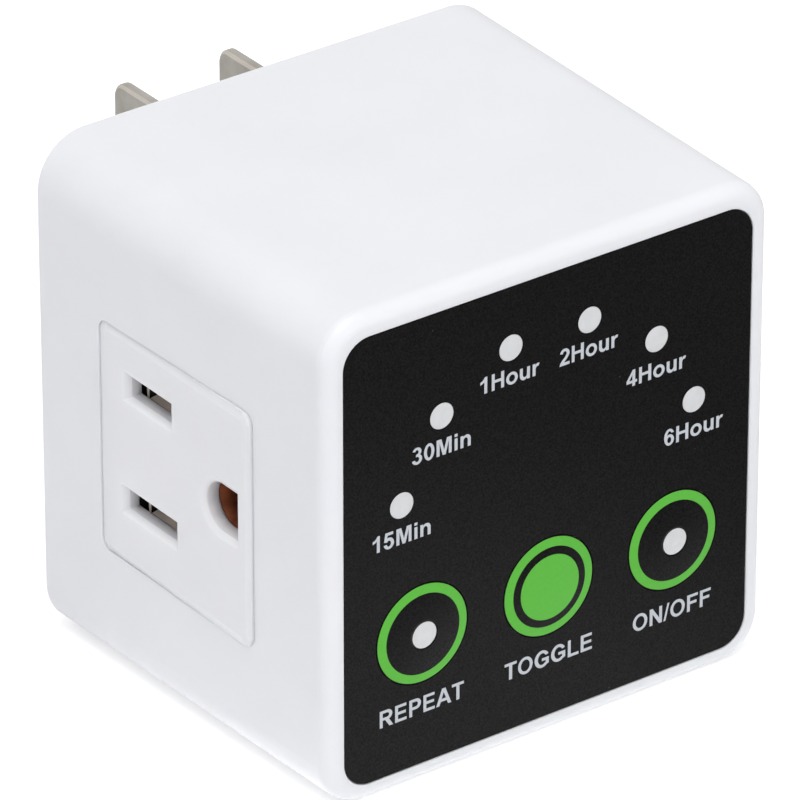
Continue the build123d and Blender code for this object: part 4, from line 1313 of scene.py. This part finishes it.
    def build(self, finishes: Finishes) -> None:
        """Makes the plate and the contacts, and darkens the carrier.

        Args:
            finishes: all materials by name.
        """
        self.plate(finishes["face_plate"])
        self.ground_socket(finishes["contact_bore"])
        for pole in Pole:
            self.blade_socket(pole, finishes)
        dress(frame["nodes"][self.named("contact_cap")], finishes["black_moulding"])


@dataclass(frozen=True)
class Plug:
    """The two blades with their stamped edges, and a painted highlight along the edges."""

    edge_round: float = 0.26 * MM
    worn_low: float = 0.5  # a facet gets the painted highlight where its normal's share along X lies between these
    highlight_high: float = 0.9

    def build(self, finishes: Finishes) -> None:
        """Makes the blades in their solids' places.

        Args:
            finishes: all materials by name.
        """
        for pole in Pole:
            node = f"{pole.value}_blade"
            blade = rounded_copy(node, f"{pole.value}_plug_blade", lambda point: self.edge_round)
            dress(blade, finishes["nickel_brass"], finishes["worn_edge"])
            # The rounding's middle facets get a lighter copy of the nickel: a painted highlight.
            for polygon in blade.data.polygons:
                share = abs(polygon.normal.x)
                polygon.material_index = int(self.worn_low < share < self.highlight_high)
            hand_over(blade, "nickel_brass", Body.HOUSING, node)


# ---------------------------------------------------------------- studio
@dataclass(frozen=True)
class Lamp:
    """Square soft lamp, in metres and watts."""

    name: str
    place: tuple[float, float, float]
    size: float
    power: float

    def build(self, target: Vector) -> None:
        """Hangs the lamp.

        Args:
            target: what it is aimed at.
        """
        data = bpy.data.lights.new(self.name, "AREA")
        data.size, data.energy = self.size, self.power
        place = Vector(self.place)
        turn = (target - place).to_track_quat("-Z", "Y").to_matrix().to_4x4()
        new_piece(self.name, data).matrix_world = Matrix.Translation(place) @ turn


@dataclass(frozen=True)
class Studio:
    """Floor, world, lamps and the camera."""

    azimuth: float = radians(-36.3604)
    elevation: float = radians(28.9003)
    distance: float = 845.09 * MM
    slide: tuple[float, float] = (0.5596 * MM, -0.0604 * MM)
    middle_y: float = -23.15 * MM
    focal_px: float = 8670.07
    image_px: int = 800
    sensor: float = 36.0
    clip: tuple[float, float] = (0.05, 20.0)
    floor_size: float = 3.0
    floor_color: Color = srgb(246, 246, 247)
    draft: float = radians(1.2)
    surround: float = 0.55
    floor_lift: float = 0.42
    floor_glow: float = 1.4  # of the floor near the part, seen by reflection
    pool_centre: tuple[float, float, float] = (-10 * MM, -55 * MM, -27 * MM)
    pool_near: float = 22 * MM
    pool_far: float = 62 * MM
    lamps: tuple[Lamp, ...] = (
        Lamp("key_lamp", (-0.2, -0.25, 0.8), 0.5, 3.55),
        Lamp("side_lamp", (-0.8, -0.3, 0.25), 0.6, 0.4),
        Lamp("front_lamp", (0.15, -0.8, 0.0), 0.5, 1.6),
    )

    def camera(self) -> None:
        """Places the camera and makes it the scene's own."""
        a, e = self.azimuth, self.elevation
        back = Vector((sin(a) * cos(e), -cos(a) * cos(e), sin(e)))
        right = (-back).cross(Vector((0, 0, 1))).normalized()
        up = right.cross(-back)
        place = Vector((0, self.middle_y, 0)) - self.slide[0] * right - self.slide[1] * up
        place += self.distance * back
        data = bpy.data.cameras.new("camera")
        data.sensor_width = self.sensor
        data.lens = self.focal_px * self.sensor / self.image_px
        data.clip_start, data.clip_end = self.clip
        camera = new_piece("camera", data)
        turn = Matrix((right, up, back)).transposed().to_4x4()
        camera.matrix_world = Matrix.Translation(place) @ turn
        bpy.context.scene.camera = camera

    def floor(self) -> None:
        """Lays the pale floor against the body's drafted underside."""
        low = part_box("housing_shell")[0]
        half = self.floor_size / 2
        build = bmesh.new()
        build.faces.new([build.verts.new((x, y, low.z - y * tan(self.draft)))
                         for x, y in ((-half, -half), (half, -half), (half, half), (-half, half))])
        floor = bmesh_piece("floor", build)
        tree = ShaderTree("floor")
        paths = tree.node("LightPath").outputs
        reach = tree.node("VectorMath", {"operation": "DISTANCE"}, vector=tree.place())
        reach.inputs[1].default_value = self.pool_centre
        pool = tree.span(reach.outputs["Value"], self.pool_near, self.pool_far,
                         self.floor_glow, 0.0)
        mirror = tree.math("MAXIMUM", paths["Is Glossy Ray"], paths["Is Transmission Ray"])
        seen = tree.math("MULTIPLY", paths["Is Camera Ray"], self.floor_lift)
        tree.dress(
            base_color=self.floor_color, roughness=0.9, specular_ior_level=0.1,
            emission_color=(1.0, 1.0, 1.0),
            emission_strength=tree.math("MAXIMUM", seen, tree.math("MULTIPLY", mirror, pool)),
        )
        dress(floor, tree.material)

    def world(self) -> None:
        """Even soft surround, white where it is seen."""
        world = bpy.data.worlds.new("studio")
        bpy.context.scene.world = world
        world.use_nodes = True
        tree = NodeTree(world.node_tree, "ShaderNode")
        paths = tree.node("LightPath").outputs
        mirror = tree.math("MAXIMUM", paths["Is Glossy Ray"], paths["Is Transmission Ray"])
        seen = tree.math("MAXIMUM", paths["Is Camera Ray"], mirror)
        strength = tree.math("MULTIPLY_ADD", seen, 1 - self.surround, self.surround)
        background = tree.add("Background", color=(1.0, 1.0, 1.0), strength=strength)
        tree.node("OutputWorld", surface=background)

    def build(self) -> None:
        """Sets the whole studio up."""
        self.camera()
        self.floor()
        self.world()
        for lamp in self.lamps:
            lamp.build(Vector((0, self.middle_y, 0)))
        bpy.context.scene.view_settings.view_transform = "Standard"


# ---------------------------------------------------------------- the whole part
def finishes() -> Finishes:
    """Makes every material.

    Returns:
        The record's material slots by name, and the finishes of the pieces that are made here.
    """
    can, fuse, resistors = ((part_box(node)[0].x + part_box(node)[1].x) / 2 for node in (
        "smoothing_capacitor", "thermal_fuse", "power_resistors"))
    looks = {
        "white_housing": Moulding("white_abs", srgb(236, 237, 241), translucency=0.5,
                                  depth=0.9 * MM),
        "black_film": Film("black_film", srgb(11, 10, 10)),
        "window_film": Window("window_film", srgb(217, 218, 220)),
        "nickel_brass": RolledMetal("nickel_plate", srgb(178, 174, 167), srgb(138, 132, 120)),
        "copper_brass": RolledMetal("copper_alloy", srgb(166, 98, 68), srgb(96, 52, 38),
                                    roughness=0.45),
        "zinc_steel": RolledMetal("zinc_plate", srgb(205, 206, 208), srgb(165, 166, 160),
                                  roughness=0.3),
        "clear_key": Moulding("milky_key", srgb(228, 229, 226), roughness=0.22, translucency=0.5),
        "white_lamp": Moulding("lamp_body", srgb(238, 234, 205), roughness=0.25, translucency=0.3),
        "board_green": Laminate("board", srgb(26, 92, 56), srgb(44, 122, 74)),
        "black_moulding": Moulding("black_epoxy", srgb(34, 34, 36), roughness=0.5, flow_share=0.2),
        "ivory_nylon": Moulding("ivory_nylon", srgb(226, 220, 200), roughness=0.4),
        "cable_grey": Moulding("cable_sleeve", srgb(120, 122, 124), roughness=0.55),
        "relay_blue": Moulding("relay_case", srgb(36, 82, 158), roughness=0.24),
        "capacitor_yellow": Moulding("film_capacitor", srgb(214, 164, 48), roughness=0.26),
        "can_sleeve": Banded("can_sleeve", srgb(38, 40, 48), srgb(196, 198, 200), can, (3.2 * MM,),
                             width=1.4 * MM),
        "crystal_can": RolledMetal("crystal_can", srgb(208, 206, 200), srgb(176, 170, 158),
                                   roughness=0.25),
        "ceramic_blue": Moulding("dipped_ceramic", srgb(52, 104, 150), roughness=0.3,
                                 grain_depth=0.01 * MM),
        "resistor_tan": Banded("resistor", srgb(206, 178, 134), srgb(110, 52, 30), resistors,
                               (-1.8 * MM, -0.9 * MM, 0.0, 1.8 * MM)),
        "fuse_white": Banded("fuse", srgb(226, 226, 218), srgb(150, 150, 148), fuse,
                             (-2.6 * MM, 2.6 * MM)),
        "baffle_white": Moulding("baffle", srgb(230, 230, 226), roughness=0.5),
        "green_print": Ink("green_print", srgb(92, 184, 62)),
        "grey_print": Ink("grey_print", srgb(200, 204, 211)),
        "contact_leaf": RolledMetal("contact_nickel", srgb(226, 214, 204), srgb(186, 172, 158),
                                    Along.X, roughness=0.5, metallic=0.4),
        # Dark copy of the contact metal, for the contacts' faces that turn along Y: painted shade
        # inside the slots.
        "contact_web": RolledMetal("contact_web", srgb(62, 58, 52), srgb(30, 28, 26), Along.X,
                                   roughness=0.6),
        "contact_bore": RolledMetal("contact_copper", srgb(192, 120, 82), srgb(100, 60, 44),
                                    Along.X, roughness=0.42, metallic=0.8, tarnish_share=0.9),
        "face_plate": Moulding("plate_abs", srgb(238, 238, 242), translucency=0.8, depth=2.2 * MM),
        # Lighter copy of the nickel, for the blades' edges: a painted highlight.
        "worn_edge": RolledMetal("worn_nickel", srgb(197, 190, 182), srgb(178, 171, 161),
                                 roughness=0.3),
    }
    return {name: look.material() for name, look in looks.items()}


def main() -> None:
    """Builds the studio, the finishes and the sub-assemblies, in that order."""
    logging.basicConfig(level=logging.INFO, format="%(name)s %(message)s")
    Studio().build()
    materials = finishes()
    for entry in frame["record"]["subparts"]:
        dress(frame["nodes"][entry["node"]], materials[entry["material_slot"]])
        log.info("solid %s in %s", entry["node"], entry["material_slot"])
    FrontPanel().build(materials)
    CoverScrews().build(materials["zinc_steel"])
    for side in Side:
        Receptacle(side).build(materials)
    Plug().build(materials)


if __name__ == "__main__":
    main()
